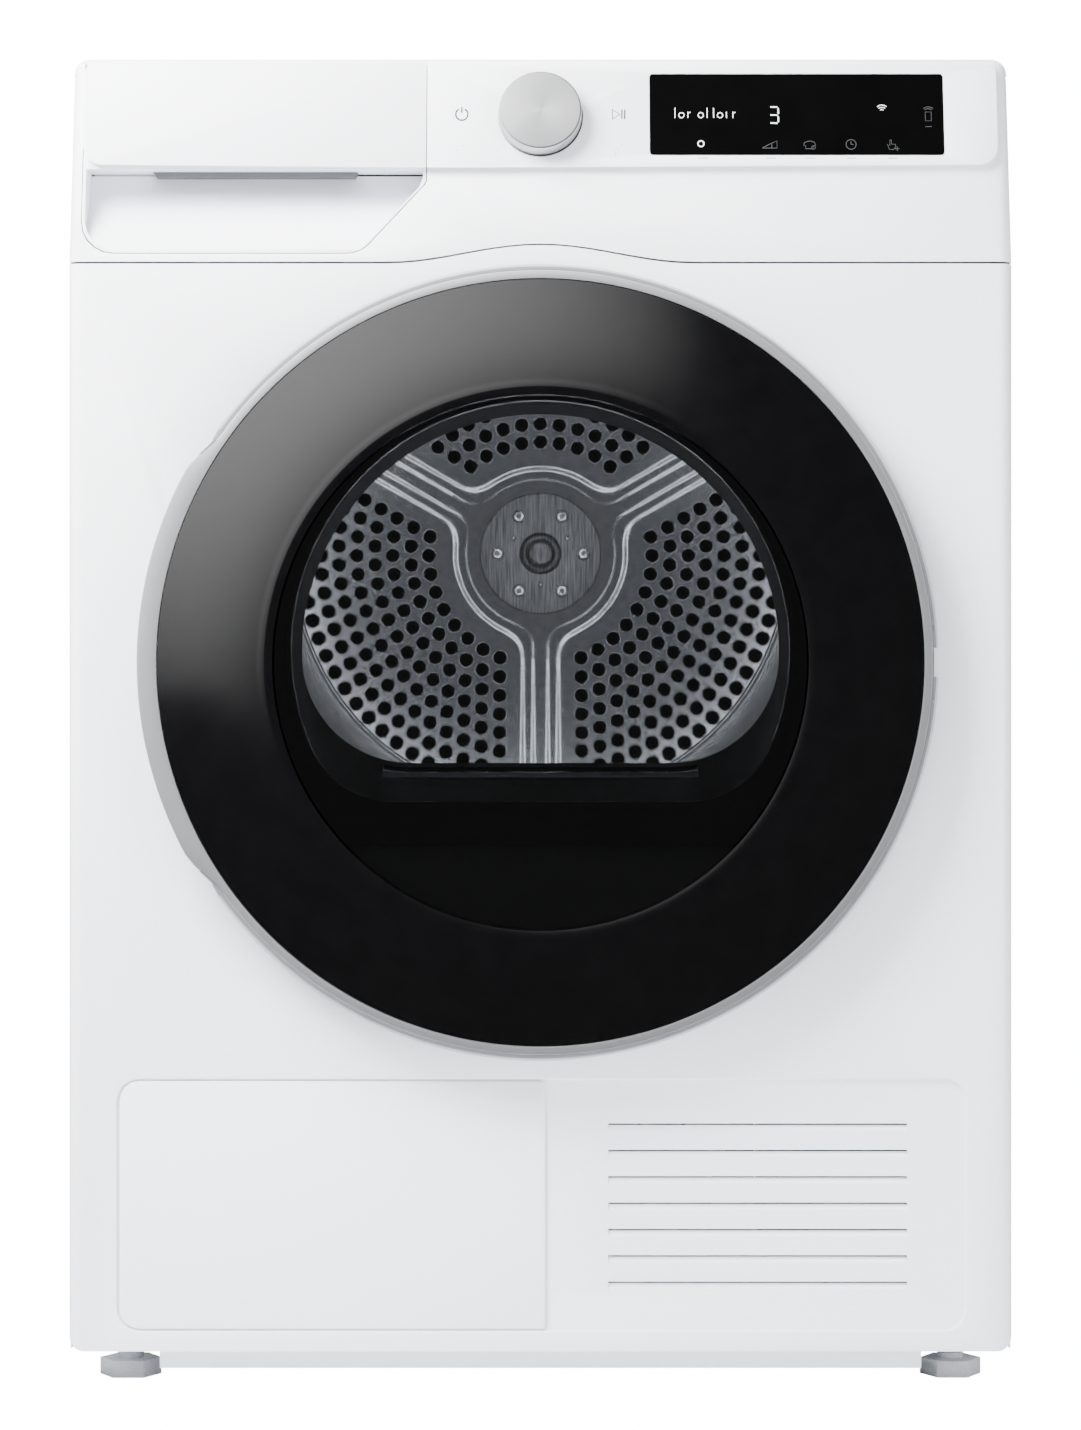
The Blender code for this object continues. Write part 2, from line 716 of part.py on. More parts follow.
def make_hinge(steel, silver):
    """Plate with one lug and the pin on the cabinet; a leaf with two knuckles on the door."""
    x, y = HINGE
    reach = 0.0043
    half = LUG_HALF
    low, high = (x - 0.0320, -0.2777, DOOR_Z - 0.040), (x - 0.0080, -0.2754, DOOR_Z + 0.040)
    bracket = block("hinge_bracket", low, high, silver)
    low, high = (x - 0.0120, -0.2778, DOOR_Z - half), (x + 0.0020, -0.2756, DOOR_Z + half)
    foot = block("lug_foot", low, high, silver)
    arm = block("lug_arm", (x - 0.0040, y, DOOR_Z - half), (x + 0.0020, -0.2770, DOOR_Z + half), silver)
    ends = DOOR_Z - half - 0.0001, DOOR_Z + half + 0.0001
    barrel = rod("lug_barrel", HINGE, reach, *ends, silver, "Z", 20)
    pin = rod("hinge_pin", HINGE, 0.0022, DOOR_Z - HINGE_HALF, DOOR_Z + HINGE_HALF, silver, "Z", 12)
    join(bracket, foot, arm, barrel, pin)

    ends = DOOR_Z - HINGE_HALF, DOOR_Z + HINGE_HALF
    leaf = rod("hinge_leaf", HINGE, reach, *ends, steel, "Z", 20, (*HINGE, DOOR_Z))
    low, high = (x - 0.0240, y - 0.0043, ends[0] + 0.0002), (x, y - 0.0020, ends[1] - 0.0002)
    strap = block("leaf_strap", low, high, steel)
    bore = rod("leaf_bore", HINGE, 0.0026, DOOR_Z - 0.050, DOOR_Z + 0.050, steel, "Z", 12)
    gap = half + 0.0005
    low, high = (x - 0.0050, y - 0.0100, DOOR_Z - gap), (x + 0.0100, y + 0.0100, DOOR_Z + gap)
    room = block("leaf_room", low, high, steel)
    join(leaf, strap)
    cut(leaf, bore, room)


def make_latch_catch(plastic):
    """Catch behind the front panel, with a cavity for the hook."""
    low, high = (-0.2260, -0.2730, DOOR_Z - 0.028), (-0.1860, -0.2450, DOOR_Z + 0.028)
    catch = block("latch_catch", low, high, plastic)
    low, high = (-0.2140, -0.2800, DOOR_Z - 0.016), (-0.1980, -0.2500, DOOR_Z + 0.016)
    cavity = block("catch_cavity", low, high, plastic)
    return cut(catch, cavity)


def make_door_seal(rubber):
    profile = [(0.1740, -0.2745), (0.1750, -0.2808), (0.1780, -0.2808), (0.1790, -0.2745)]
    return turned("door_seal", profile, (0, DOOR_Z + 0.004), rubber, steps=36)


# ---- tunnel, filter and bulkheads ----


def make_door_tunnel(plastic):
    """Throat from the door to the drum, with a sloping sill and the filter's well under it."""
    mouth, end = (0.470, 0.1665, 0.3630, 0.061), (0.468, 0.1580, 0.3950, 0.072)
    wall = 0.003

    def outside(size):
        return size[0], size[1] + wall, size[2] - wall, size[3] + wall

    tunnel = rod("door_tunnel", (0, DOOR_Z + 0.004), 0.1820, -0.2741, -0.2700, plastic, steps=64)
    rings = [ring_at(d_outline(*outside(mouth)), TUNNEL_FRONT), ring_at(d_outline(*outside(end)), TUNNEL_BACK)]
    skin = loft("tunnel_skin", rings, plastic)
    length = TUNNEL_BACK - TUNNEL_FRONT
    rings = []
    for share in (-0.10, 1.10):
        size = [a + (b - a) * share for a, b in zip(mouth, end)]
        rings.append(ring_at(d_outline(*size), TUNNEL_FRONT + length * share))
    well = block("filter_well", (-0.1085, -0.1995, 0.2360), (0.1085, -0.1672, 0.3870), plastic)
    slot = block("filter_slot", (-0.1045, -0.1965, 0.2390), (0.1045, -0.1705, 0.4300), plastic)
    join(tunnel, skin, well)
    return cut(tunnel, loft("tunnel_bore", rings, plastic), slot)


def make_lint_filter(plastic):
    """Frame that lifts out of its well, with a grip on top and two windows for the mesh."""
    y0, y1 = FILTER_Y
    low, high = (-FILTER_HALF, y0, 0.2420), (FILTER_HALF, y1, 0.3860)
    frame = block("lint_filter", low, high, plastic, (0, y0, 0.2420))
    for side in (-1, 1):
        x0, x1 = sorted((side * 0.006, side * (FILTER_HALF - 0.006)))
        cut(frame, block("filter_window", (x0, y0 + 0.002, 0.2500), (x1, y1 + 0.010, 0.3700), plastic))
    return frame


def make_front_bulkhead(steel):
    """Plate that closes the drum's front, with two axles for the support rollers."""
    outline = rectangle(-0.2975, 0.2975, 0.2550, 0.8250, 0.010)
    plate = prism("front_bulkhead", outline, "Y", PLATE_Y, PLATE_Y + 0.0015, steel)
    throat = prism("bulkhead_throat", d_outline(0.468, 0.1635, 0.3890, 0.070), "Y", -0.180, -0.150, steel)
    tank_room = block("bulkhead_tank_room", (-0.3000, -0.180, 0.7600), (-0.1460, -0.150, 0.8400), steel)
    cut(plate, throat, tank_room)
    for side in (-1, 1):
        ends = PLATE_Y + 0.0010, ROLLER_Y[1] + 0.0040
        axle = rod("roller_axle", roller_centre(side), 0.0040, *ends, steel, steps=12)
        join(plate, axle)
    return plate


def roller_centre(side):
    reach = DRUM_RADIUS + ROLLER_RADIUS + 0.0004
    return side * reach * cos(ROLLER_ANGLE), DRUM_Z - reach * sin(ROLLER_ANGLE)


def make_drum_felt(felt):
    profile = [(0.2130, -0.1645), (0.2250, -0.1645), (0.2250, -0.1586), (0.2130, -0.1586)]
    return turned("drum_felt", profile, (0, DRUM_Z), felt, steps=48)


def make_rear_bulkhead(steel):
    """Plate behind the drum with the duct that feeds it hot air, and the bearing's post."""
    outline = rectangle(-0.2975, 0.2975, 0.2350, 0.8250, 0.010)
    plate = prism("rear_bulkhead", outline, "Y", 0.2450, 0.2465, steel)
    throat = rod("rear_throat", (0, DRUM_Z), 0.2000, 0.2300, 0.2600, steel, steps=48)
    tank_room = block("rear_tank_room", (-0.3000, 0.230, 0.7600), (-0.1460, 0.260, 0.8400), steel)
    duct = rod("duct_shell", (0, DRUM_Z), 0.2080, 0.2458, 0.3120, steel, steps=48)
    chute = block("duct_chute", (-0.060, 0.2459, 0.2150), (0.060, 0.3119, 0.4000), steel)
    duct_room = rod("duct_room", (0, DRUM_Z), 0.2060, 0.2400, 0.3100, steel, steps=48)
    chute_room = block("chute_room", (-0.058, 0.2480, 0.2000), (0.058, 0.3099, 0.4000), steel)
    post = rod("bearing_post", (0, DRUM_Z), 0.0300, 0.2760, 0.3110, steel, steps=24)
    bore = rod("post_bore", (0, DRUM_Z), 0.0140, 0.2700, 0.3080, steel, steps=24)
    join(plate, duct, chute)
    cut(plate, throat, tank_room, duct_room, chute_room)
    join(plate, post)
    return cut(plate, bore)


def make_rear_bearing(steel):
    profile = [(0.0128, 0.2640), (0.0280, 0.2640), (0.0280, 0.2755), (0.0128, 0.2755)]
    return turned("rear_bearing", profile, (0, DRUM_Z), steel, steps=24)


# ---- drum ----


def make_drum_shell(steel):
    wall = 0.0015
    profile = [
        (DRUM_RADIUS, DRUM_BACK),
        (DRUM_RADIUS, DRUM_FRONT + 0.010),
        (DRUM_RADIUS - 0.010, DRUM_FRONT + 0.001),
        (0.2130, DRUM_FRONT),
        (0.2130, DRUM_FRONT + wall),
        (DRUM_RADIUS - 0.0106, DRUM_FRONT + 0.001 + wall),
        (DRUM_RADIUS - wall, DRUM_FRONT + 0.0106),
        (DRUM_RADIUS - wall, DRUM_BACK),
    ]
    return turned("drum_shell", profile, (0, DRUM_Z), steel, steps=48, pivot=(0, 0, DRUM_Z))


def sector_holes():
    """Centres of the air holes, as (across, up) from the drum's axis, in three fields."""
    spots = []
    for field in range(3):
        turn = pi / 2 + field * 2 * pi / 3 + pi / 3
        for row, count in ((0.098, 2), (0.131, 3), (0.164, 4)):
            half = radians(60) - 0.042 / row
            for i in range(count):
                a = turn + half * (2 * i / (count - 1) - 1)
                spots.append((row * cos(a), row * sin(a)))
    return spots


def make_drum_back(steel):
    """Dished disc with a rolled rim and three fields of air holes."""
    profile = [
        (0.0130, 0.2350),
        (0.1880, 0.2350),
        (0.2140, 0.2290),
        (0.2590, 0.2150),
        (0.2590, 0.2070),
        (0.2601, 0.2070),
        (0.2601, 0.2165),
        (0.2145, 0.2305),
        (0.1882, 0.2365),
        (0.0130, 0.2365),
    ]
    back = turned("drum_back", profile, (0, DRUM_Z), steel, steps=48, pivot=(0, 0, DRUM_Z))
    punches = bmesh.new()
    for x, z in sector_holes():
        spot = Matrix.Translation((x, 0.2360, DRUM_Z + z)) @ Matrix.Rotation(pi / 2, 4, "X")
        bmesh.ops.create_cone(
            punches, cap_ends=True, segments=8, radius1=0.013, radius2=0.013, depth=0.012, matrix=spot
        )
    return cut(back, place("air_holes", punches, steel))


def make_drum_hub(steel):
    """Brushed plate over the shaft's end, with a domed boss and six screw heads."""
    stages = [(0.0460, 0.2346), (0.0460, 0.2322), (0.0440, 0.2312)]
    stages += [(0.0156, 0.2312), (0.0150, 0.2282), (0.0100, 0.2268)]
    hub = stepped_rod("drum_hub", stages, (0, DRUM_Z), steel, steps=24, pivot=(0, 0, DRUM_Z))
    for i in range(6):
        a = i * pi / 3
        spot = (0.0325 * cos(a), DRUM_Z + 0.0325 * sin(a))
        join(hub, rod("hub_screw", spot, 0.0048, 0.2292, 0.2320, steel, steps=6))
    return hub


def make_drum_shaft(steel):
    """Shaft with the flange that carries the drum from behind."""
    stages = [(0.0560, 0.2369), (0.0560, 0.2400), (0.0200, 0.2420), (0.0124, 0.2440), (0.0124, 0.2900)]
    return stepped_rod("drum_shaft", stages, (0, DRUM_Z), steel, steps=24, pivot=(0, 0, DRUM_Z))


def make_lifter(name, angle, plastic):
    """Ridge along the drum wall that lifts the laundry."""
    seat = 0.2583
    section = [(seat, -0.028), (seat, 0.028), (0.236, 0.015)]
    section += [(0.216, 0.007), (0.216, -0.007), (0.236, -0.015)]
    outline = []
    for radial, sideways in section:
        x = radial * cos(angle) - sideways * sin(angle)
        z = DRUM_Z + radial * sin(angle) + sideways * cos(angle)
        outline.append((x, z))
    return prism(name, outline, "Y", -0.1300, 0.1950, plastic, (0, 0, DRUM_Z))


# ---- drive ----


def belt_route(wheels):
    """Centre line of a belt round (x, z, radius, way) wheels; way is 1 inside, -1 outside."""
    points = []
    count = len(wheels)
    lines = []
    for i in range(count):
        x0, z0, r0, way0 = wheels[i]
        x1, z1, r1, way1 = wheels[(i + 1) % count]
        heading = atan2(z1 - z0, x1 - x0)
        shift = acos((r0 * way0 - r1 * way1) / hypot(x1 - x0, z1 - z0))
        lines.append(heading - shift)
    for i, (x, z, radius, way) in enumerate(wheels):
        arrive, leave = lines[i - 1], lines[i]
        turn = (leave - arrive) % (2 * pi) if way > 0 else -((arrive - leave) % (2 * pi))
        steps = max(3, ceil(abs(turn) / radians(7)))
        for k in range(steps + 1):
            a = arrive + turn * k / steps
            points.append((x + way * radius * cos(a), z + way * radius * sin(a)))
    return points


def make_belt(rubber):
    """Flat belt round the drum and the motor pulley, pressed in by the idler."""
    clear, thick = 0.0010, 0.0012
    bounds = []
    for inner in (clear, clear + thick):
        wheels = [
            (0, DRUM_Z, DRUM_RADIUS + inner, 1),
            (*IDLER, IDLER_RADIUS + clear + clear + thick - inner, -1),
            (*MOTOR, PULLEY_RADIUS + inner, 1),
        ]
        bounds.append(belt_route(wheels))
    low, high = BELT_Y - 0.0045, BELT_Y + 0.0045
    rings = []
    for inner, outer in zip(*bounds):
        places = (inner, low), (outer, low), (outer, high), (inner, high)
        rings.append([along("Y", point, depth) for point, depth in places])
    return loft("drive_belt", rings, rubber, closed=True)


def make_motor(steel):
    body = [(0.0440, -0.0200), (0.0480, -0.0150), (0.0480, 0.1150), (0.0440, 0.1200)]
    housing = stepped_rod("motor_housing", body, MOTOR, steel, steps=28)
    x, z = MOTOR
    foot = block("motor_foot", (x - 0.035, 0.005, 0.0290), (x + 0.035, 0.095, z - 0.030), steel)
    low, high = (IDLER[0] - 0.006, -0.0310, IDLER[1] - 0.060), (x - 0.020, -0.0270, IDLER[1] + 0.007)
    arm = block("idler_arm", low, high, steel)
    low, high = (x - 0.040, -0.0300, IDLER[1] - 0.055), (x - 0.026, -0.0100, IDLER[1] - 0.020)
    post = block("idler_post", low, high, steel)
    pin = rod("idler_pin", IDLER, 0.0035, -0.0560, -0.0280, steel, steps=12)
    bore = rod("motor_bore", MOTOR, 0.0070, -0.0400, 0.1400, steel, steps=16)
    join(housing, foot, post, arm, pin)
    cut(housing, bore)

    pivot = (x, 0, z)
    stages = [(PULLEY_RADIUS, -0.0520), (PULLEY_RADIUS, -0.0380), (0.0060, -0.0370), (0.0060, 0.2580)]
    stepped_rod("motor_rotor", stages, MOTOR, steel, steps=20, pivot=pivot)


def make_blower(plastic):
    """Fan wheel on the motor's shaft, in a housing that feeds the rear duct."""
    x, z = MOTOR
    disc = [(0.0064, 0.2560), (0.0620, 0.2560), (0.0620, 0.2590), (0.0064, 0.2590)]
    fan = turned("blower_fan", disc, MOTOR, plastic, steps=32, pivot=(x, 0, z))
    sleeve = [(0.0064, 0.2300), (0.0120, 0.2300), (0.0120, 0.2570), (0.0064, 0.2570)]
    hub = turned("fan_hub", sleeve, MOTOR, plastic, steps=16)
    join(fan, hub)
    blades = 8
    for i in range(blades):
        a = 2 * pi * i / blades
        outline = []
        for radius, turn in ((0.036, -0.03), (0.060, 0.10), (0.060, 0.14), (0.036, 0.03)):
            outline.append((x + radius * cos(a + turn), z + radius * sin(a + turn)))
        join(fan, prism("fan_blade", outline, "Y", 0.2230, 0.2565, plastic))

    shell = block("blower_housing", (-0.200, 0.2050, 0.0640), (0.160, 0.2700, 0.2120), plastic)
    room = block("blower_room", (-0.197, 0.2080, 0.0670), (0.157, 0.2670, 0.2090), plastic)
    inlet = block("blower_inlet", (-0.190, 0.2000, 0.0750), (-0.045, 0.2300, 0.1950), plastic)
    outlet = block("blower_outlet", (-0.056, 0.2500, 0.2000), (0.056, 0.2800, 0.2110), plastic)
    chimney = block("blower_chimney", (-0.050, 0.2120, 0.2000), (0.050, 0.2400, 0.2200), plastic)
    bore = rod("blower_bore", MOTOR, 0.0100, 0.1900, 0.2200, plastic, steps=16)
    return cut(shell, room, inlet, outlet, chimney, bore)


def make_roller(name, centre, radius, rubber):
    profile = [(0.0044, ROLLER_Y[0]), (radius, ROLLER_Y[0]), (radius, ROLLER_Y[1]), (0.0044, ROLLER_Y[1])]
    return turned(name, profile, centre, rubber, steps=24, pivot=(centre[0], 0, centre[1]))


def make_idler(plastic):
    profile = [(0.0039, -0.0520), (IDLER_RADIUS, -0.0520), (IDLER_RADIUS, -0.0380), (0.0039, -0.0380)]
    return turned("idler_pulley", profile, IDLER, plastic, steps=24, pivot=(IDLER[0], 0, IDLER[1]))


# ---- heat pump ----


def make_heat_pump(plastic, steel, fins, copper, white):
    housing = block("exchanger_housing", (-0.2750, -0.2450, 0.0640), (-0.0200, 0.1950, 0.2000), plastic)
    room = block("exchanger_room", (-0.2720, -0.2600, 0.0670), (-0.0230, 0.2100, 0.1970), plastic)
    cut(housing, room)
    block("evaporator", (-0.2700, -0.2000, 0.0690), (-0.0350, -0.0900, 0.1950), fins)
    block("condenser", (-0.2700, -0.0600, 0.0690), (-0.0350, 0.1200, 0.1950), fins)

    shell = [(0.030, 0.0400), (0.054, 0.0460), (0.058, 0.0560)]
    shell += [(0.058, 0.1800), (0.052, 0.1960), (0.024, 0.2060)]
    compressor = stepped_rod("compressor", shell, (0.210, 0.020), steel, "Z", 28)
    join(compressor, block("compressor_foot", (0.145, -0.045, 0.0290), (0.275, 0.085, 0.0410), steel))
    route = [
        (0.2100, 0.0850, 0.1500),
        (0.2100, 0.1150, 0.1500),
        (0.2050, 0.1500, 0.1600),
        (0.1650, 0.1750, 0.1900),
        (0.1000, 0.1800, 0.2150),
        (0.0300, 0.1750, 0.2150),
        (-0.0050, 0.1500, 0.1900),
        (-0.0100, 0.1000, 0.1600),
        (-0.0100, 0.0400, 0.1500),
    ]
    pipe("refrigerant_pipe", route, 0.0045, copper)

    cover = block("exchanger_cover", (-0.2700, -0.2560, 0.0500), (-0.0250, -0.2455, 0.1880), white)
    grip = block("cover_grip", (-0.1750, -0.2600, 0.1050), (-0.1200, -0.2490, 0.1330), white)
    return cut(cover, grip)


def make_cover_latch(name, x, white):
    """Lever that turns on the cover's face to lock it."""
    z = 0.1720
    low, high = z - 0.0300, z + 0.0080
    corners = [(x - 0.006, low, 0.005), (x + 0.006, low, 0.005)]
    corners += [(x + 0.008, high, 0.0075), (x - 0.008, high, 0.0075)]
    return prism(name, rounded(corners, 3), "Y", -0.2620, -0.2564, white, (x, -0.2590, z))


def make_drain_pump(plastic):
    stages = [(0.0220, 0.0290), (0.0220, 0.0700), (0.0160, 0.0720), (0.0160, 0.0950)]
    pump = stepped_rod("drain_pump", stages, (-0.2285, 0.2320), plastic, "Z", 20)
    spout = rod("pump_spout", (0.2320, 0.0550), 0.0060, -0.2640, -0.2400, plastic, "X", 12)
    return join(pump, spout)


# ---- small pieces ----


def make_flap(enamel):
    """Door over the heat exchanger, hinged along its lower edge."""
    x0, x1, z0, z1 = FLAP
    corners = [(x0, z0, 0.012), (x1, z0, 0.003), (x1, z1, 0.003), (x0, z1, 0.012)]
    pivot = (x0, *FLAP_PIVOT)
    return prism("exchanger_flap", rounded(corners), "Y", -0.2748, -0.2728, enamel, pivot)


def make_foot(name, x, y, plastic):
    """Six-sided pad with a threaded stud."""
    foot = prism(name, circle((x, y), 0.0200, 6), "Z", 0.0, 0.0110, plastic, (x, y, 0))
    neck = rod(f"{name}_neck", (x, y), 0.0085, 0.0105, 0.0150, plastic, "Z", 16)
    stud = rod(f"{name}_stud", (x, y), 0.0046, 0.0145, 0.0480, plastic, "Z", 12)
    return join(foot, neck, stud)


def make_drum_lamp(lens):
    return block("drum_lamp", (-0.0200, PLATE_Y + 0.0020, 0.6400), (0.0200, -0.1600, 0.6540), lens)


def make_cord_gland(plastic):
    """Grommet that the supply cord would pass through; the cord itself isn't modelled."""
    profile = [
        (0.0050, 0.3130),
        (0.0170, 0.3130),
        (0.0170, 0.3234),
        (0.0130, 0.3234),
        (0.0130, 0.3249),
        (0.0050, 0.3249),
    ]
    return turned("cord_gland", profile, (-0.235, 0.120), plastic, steps=12)


def build():
    clear_scene()
    enamel = finish("white_enamel", (0.86, 0.87, 0.89), 0.35)
    fascia = finish("white_abs", (0.86, 0.87, 0.89), 0.40)
    black = finish("black_gloss", (0.006, 0.006, 0.007), 0.10)
    silver = finish("satin_silver", (0.42, 0.43, 0.44), 0.35, 1.0)
    aluminium = finish("brushed_aluminium", (0.60, 0.60, 0.61), 0.28, 1.0)
    steel = finish("stainless_steel", (0.55, 0.55, 0.55), 0.25, 1.0)
    zinc = finish("galvanised_steel", (0.45, 0.46, 0.47), 0.45, 1.0)
    dark = finish("dark_plastic", (0.02, 0.02, 0.022), 0.45)
    grey = finish("grey_plastic", (0.30, 0.31, 0.32), 0.50)
    glass = finish("tinted_glass", (0.04, 0.04, 0.05), 0.05, 0.0, 0.35)
    rubber = finish("black_rubber", (0.015, 0.015, 0.015), 0.80)
    felt = finish("grey_felt", (0.25, 0.25, 0.25), 0.95)
    copper = finish("copper_tube", (0.60, 0.30, 0.18), 0.35, 1.0)

    make_base_tray(grey)
    make_side_panel("side_panel_left", -1, enamel)
    make_side_panel("side_panel_right", 1, enamel)
    make_back_panel(zinc)
    make_top_cover(enamel)
    make_front_panel(enamel)
    make_control_panel(fascia)
    make_display(black)
    make_knob(aluminium)
    make_control_board(dark)

    make_tank_front(fascia)
    make_tank_body(grey)
    make_tank_tray(grey)

    make_door_ring(black)
    make_door_trim(silver)
    make_door_window(glass)
    make_door_glass(glass)
    make_door_inner_frame(dark)
    make_door_hook(zinc)
    make_hinge(zinc, silver)
    make_latch_catch(dark)
    make_door_seal(rubber)

    make_door_tunnel(dark)
    make_lint_filter(dark)
    make_front_bulkhead(zinc)
    make_drum_felt(felt)
    make_rear_bulkhead(zinc)
    make_rear_bearing(steel)

    make_drum_shell(steel)
    make_drum_back(steel)
    make_drum_hub(steel)
    make_drum_shaft(steel)
    for label, turn in (("a", 90), ("b", 210), ("c", 330)):
        make_lifter(f"drum_lifter_{label}", radians(turn), grey)

    make_belt(rubber)
    make_motor(zinc)
    make_blower(dark)
    make_roller("roller_left", roller_centre(-1), ROLLER_RADIUS, rubber)
    make_roller("roller_right", roller_centre(1), ROLLER_RADIUS, rubber)
    make_idler(dark)

    make_heat_pump(grey, dark, aluminium, copper, fascia)
    make_cover_latch("cover_latch_left", -0.2450, grey)
    make_cover_latch("cover_latch_right", -0.0500, grey)
    make_drain_pump(dark)

    make_flap(fascia)
    for side, x in (("left", -FOOT_X), ("right", FOOT_X)):
        for end, y in zip(("front", "rear"), FOOT_Y):
            make_foot(f"foot_{end}_{side}", x, y, grey)
    make_drum_lamp(glass)
    make_cord_gland(dark)


build()
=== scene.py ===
import json
from math import atan2, cos, hypot, pi, radians, sin, sqrt, tan

import bmesh
import bpy
from mathutils import Matrix, Vector


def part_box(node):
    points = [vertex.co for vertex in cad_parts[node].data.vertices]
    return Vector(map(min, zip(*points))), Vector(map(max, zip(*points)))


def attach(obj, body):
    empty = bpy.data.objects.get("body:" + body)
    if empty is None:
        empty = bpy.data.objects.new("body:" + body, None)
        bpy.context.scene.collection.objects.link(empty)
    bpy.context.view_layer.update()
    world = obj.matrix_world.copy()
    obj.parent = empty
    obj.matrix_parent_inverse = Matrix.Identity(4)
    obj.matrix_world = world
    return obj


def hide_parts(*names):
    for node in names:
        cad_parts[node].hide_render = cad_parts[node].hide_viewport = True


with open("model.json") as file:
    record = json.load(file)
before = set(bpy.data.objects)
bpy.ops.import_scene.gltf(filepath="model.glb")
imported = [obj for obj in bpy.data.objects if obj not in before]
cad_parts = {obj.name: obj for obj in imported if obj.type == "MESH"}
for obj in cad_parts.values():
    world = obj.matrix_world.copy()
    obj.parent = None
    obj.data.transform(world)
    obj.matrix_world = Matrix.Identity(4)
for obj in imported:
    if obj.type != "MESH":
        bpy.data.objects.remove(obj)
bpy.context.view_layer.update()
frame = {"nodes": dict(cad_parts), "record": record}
nodes = frame["nodes"]
behaviour = frame["record"]["behaviour"]
joints = {joint["name"]: joint for joint in behaviour["joints"]}
bodyOf = {node: body for body, members in behaviour["bodies"].items() for node in members}
mm = 0.001
print("frame loaded:", len(nodes), "nodes")

# camera and studio

camera = {"distance": 2.600, "height": 0.470, "lens": 103.1, "shiftY": -0.0456}
keyLight = {"place": (-0.80, -0.90, 1.50), "aim": (0, -0.3, 0.45), "size": 0.8, "power": 130.0}
drumLight = {"behind": 16.0, "softPanel": (0.002, 0.210, 0.36), "ring": (0.216, 0.240, 15.0)}
fillLight = {"place": (1.3, -1.5, 0.20), "aim": (0.15, -0.3, 0.25), "size": 0.9, "power": 32.0}
room = {"floorColour": "F4F5F7", "floorSize": 12.0, "camera": 16.0, "diffuse": 1.0, "glossy": 0.13,
        "softbox": 6.2, "softboxWay": (-0.533, -0.500, 0.682), "softboxEdge": 0.60}


def linear(hexColour, alpha=1.0):
    # sRGB hex to the linear values that a shader takes
    found = []
    for i in (0, 2, 4):
        value = int(hexColour[i:i + 2], 16) / 255
        found.append(value / 12.92 if value <= 0.04045 else ((value + 0.055) / 1.055) ** 2.4)
    return (*found, alpha)


def addNode(tree, kind, settings=None, links=None):
    node = tree.nodes.new(kind)
    for key, value in (settings or {}).items():
        if hasattr(node, key):
            setattr(node, key, value)
        else:
            node.inputs[key].default_value = value
    for key, (source, output) in (links or {}).items():
        tree.links.new(source.outputs[output], node.inputs[key])
    return node


def aimed(obj, place, aim):
    obj.location = place
    obj.rotation_euler = (Vector(aim) - Vector(place)).to_track_quat("-Z", "Y").to_euler()
    bpy.context.scene.collection.objects.link(obj)


def makeCamera():
    data = bpy.data.cameras.new("camera")
    data.lens = camera["lens"]
    data.shift_y = camera["shiftY"]
    obj = bpy.data.objects.new("camera", data)
    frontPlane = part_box("front_panel")[0][1]
    obj.location = (0, frontPlane - camera["distance"], camera["height"])
    obj.rotation_euler = (pi / 2, 0, 0)
    bpy.context.scene.collection.objects.link(obj)
    bpy.context.scene.camera = obj


def makeLight(name, look):
    data = bpy.data.lights.new(name, "AREA")
    data.size = look["size"]
    data.energy = look["power"]
    light = bpy.data.objects.new(name, data)
    light.visible_glossy = False
    aimed(light, look["place"], look["aim"])


def shadeByRay(tree, seen, soft, mirrored):
    # one brightness for the camera, one for soft light and one for mirror reflections
    path = addNode(tree, "ShaderNodeLightPath")
    inner = addNode(tree, "ShaderNodeMixShader", links={"Fac": (path, "Is Glossy Ray")})
    outer = addNode(tree, "ShaderNodeMixShader", links={"Fac": (path, "Is Camera Ray")})
    for shader, target, slot in ((soft, inner, 1), (mirrored, inner, 2), (inner, outer, 1), (seen, outer, 2)):
        tree.links.new(shader.outputs[0], target.inputs[slot])
    return outer


def makeWorld():
    # white to the camera; mirror finishes see a dark room with one soft light high on the left
    world = bpy.data.worlds.new("studio")
    world.use_nodes = True
    bpy.context.scene.world = world
    tree = world.node_tree
    tree.nodes.clear()
    way = addNode(tree, "ShaderNodeTexCoord")
    facing = addNode(tree, "ShaderNodeVectorMath", {"operation": "DOT_PRODUCT"}, {0: (way, "Generated")})
    facing.inputs[1].default_value = room["softboxWay"]
    reach = {"From Min": room["softboxEdge"], "To Min": room["glossy"], "To Max": room["softbox"]}
    glow = addNode(tree, "ShaderNodeMapRange", reach, {"Value": (facing, "Value")})
    seen = addNode(tree, "ShaderNodeBackground", {"Strength": room["camera"]})
    soft = addNode(tree, "ShaderNodeBackground", {"Strength": room["diffuse"]})
    mirrored = addNode(tree, "ShaderNodeBackground", links={"Strength": (glow, "Result")})
    for shader in (seen, soft, mirrored):
        shader.inputs["Color"].default_value = (1, 1, 1, 1)
    both = shadeByRay(tree, seen, soft, mirrored)
    addNode(tree, "ShaderNodeOutputWorld", links={"Surface": (both, "Shader")})


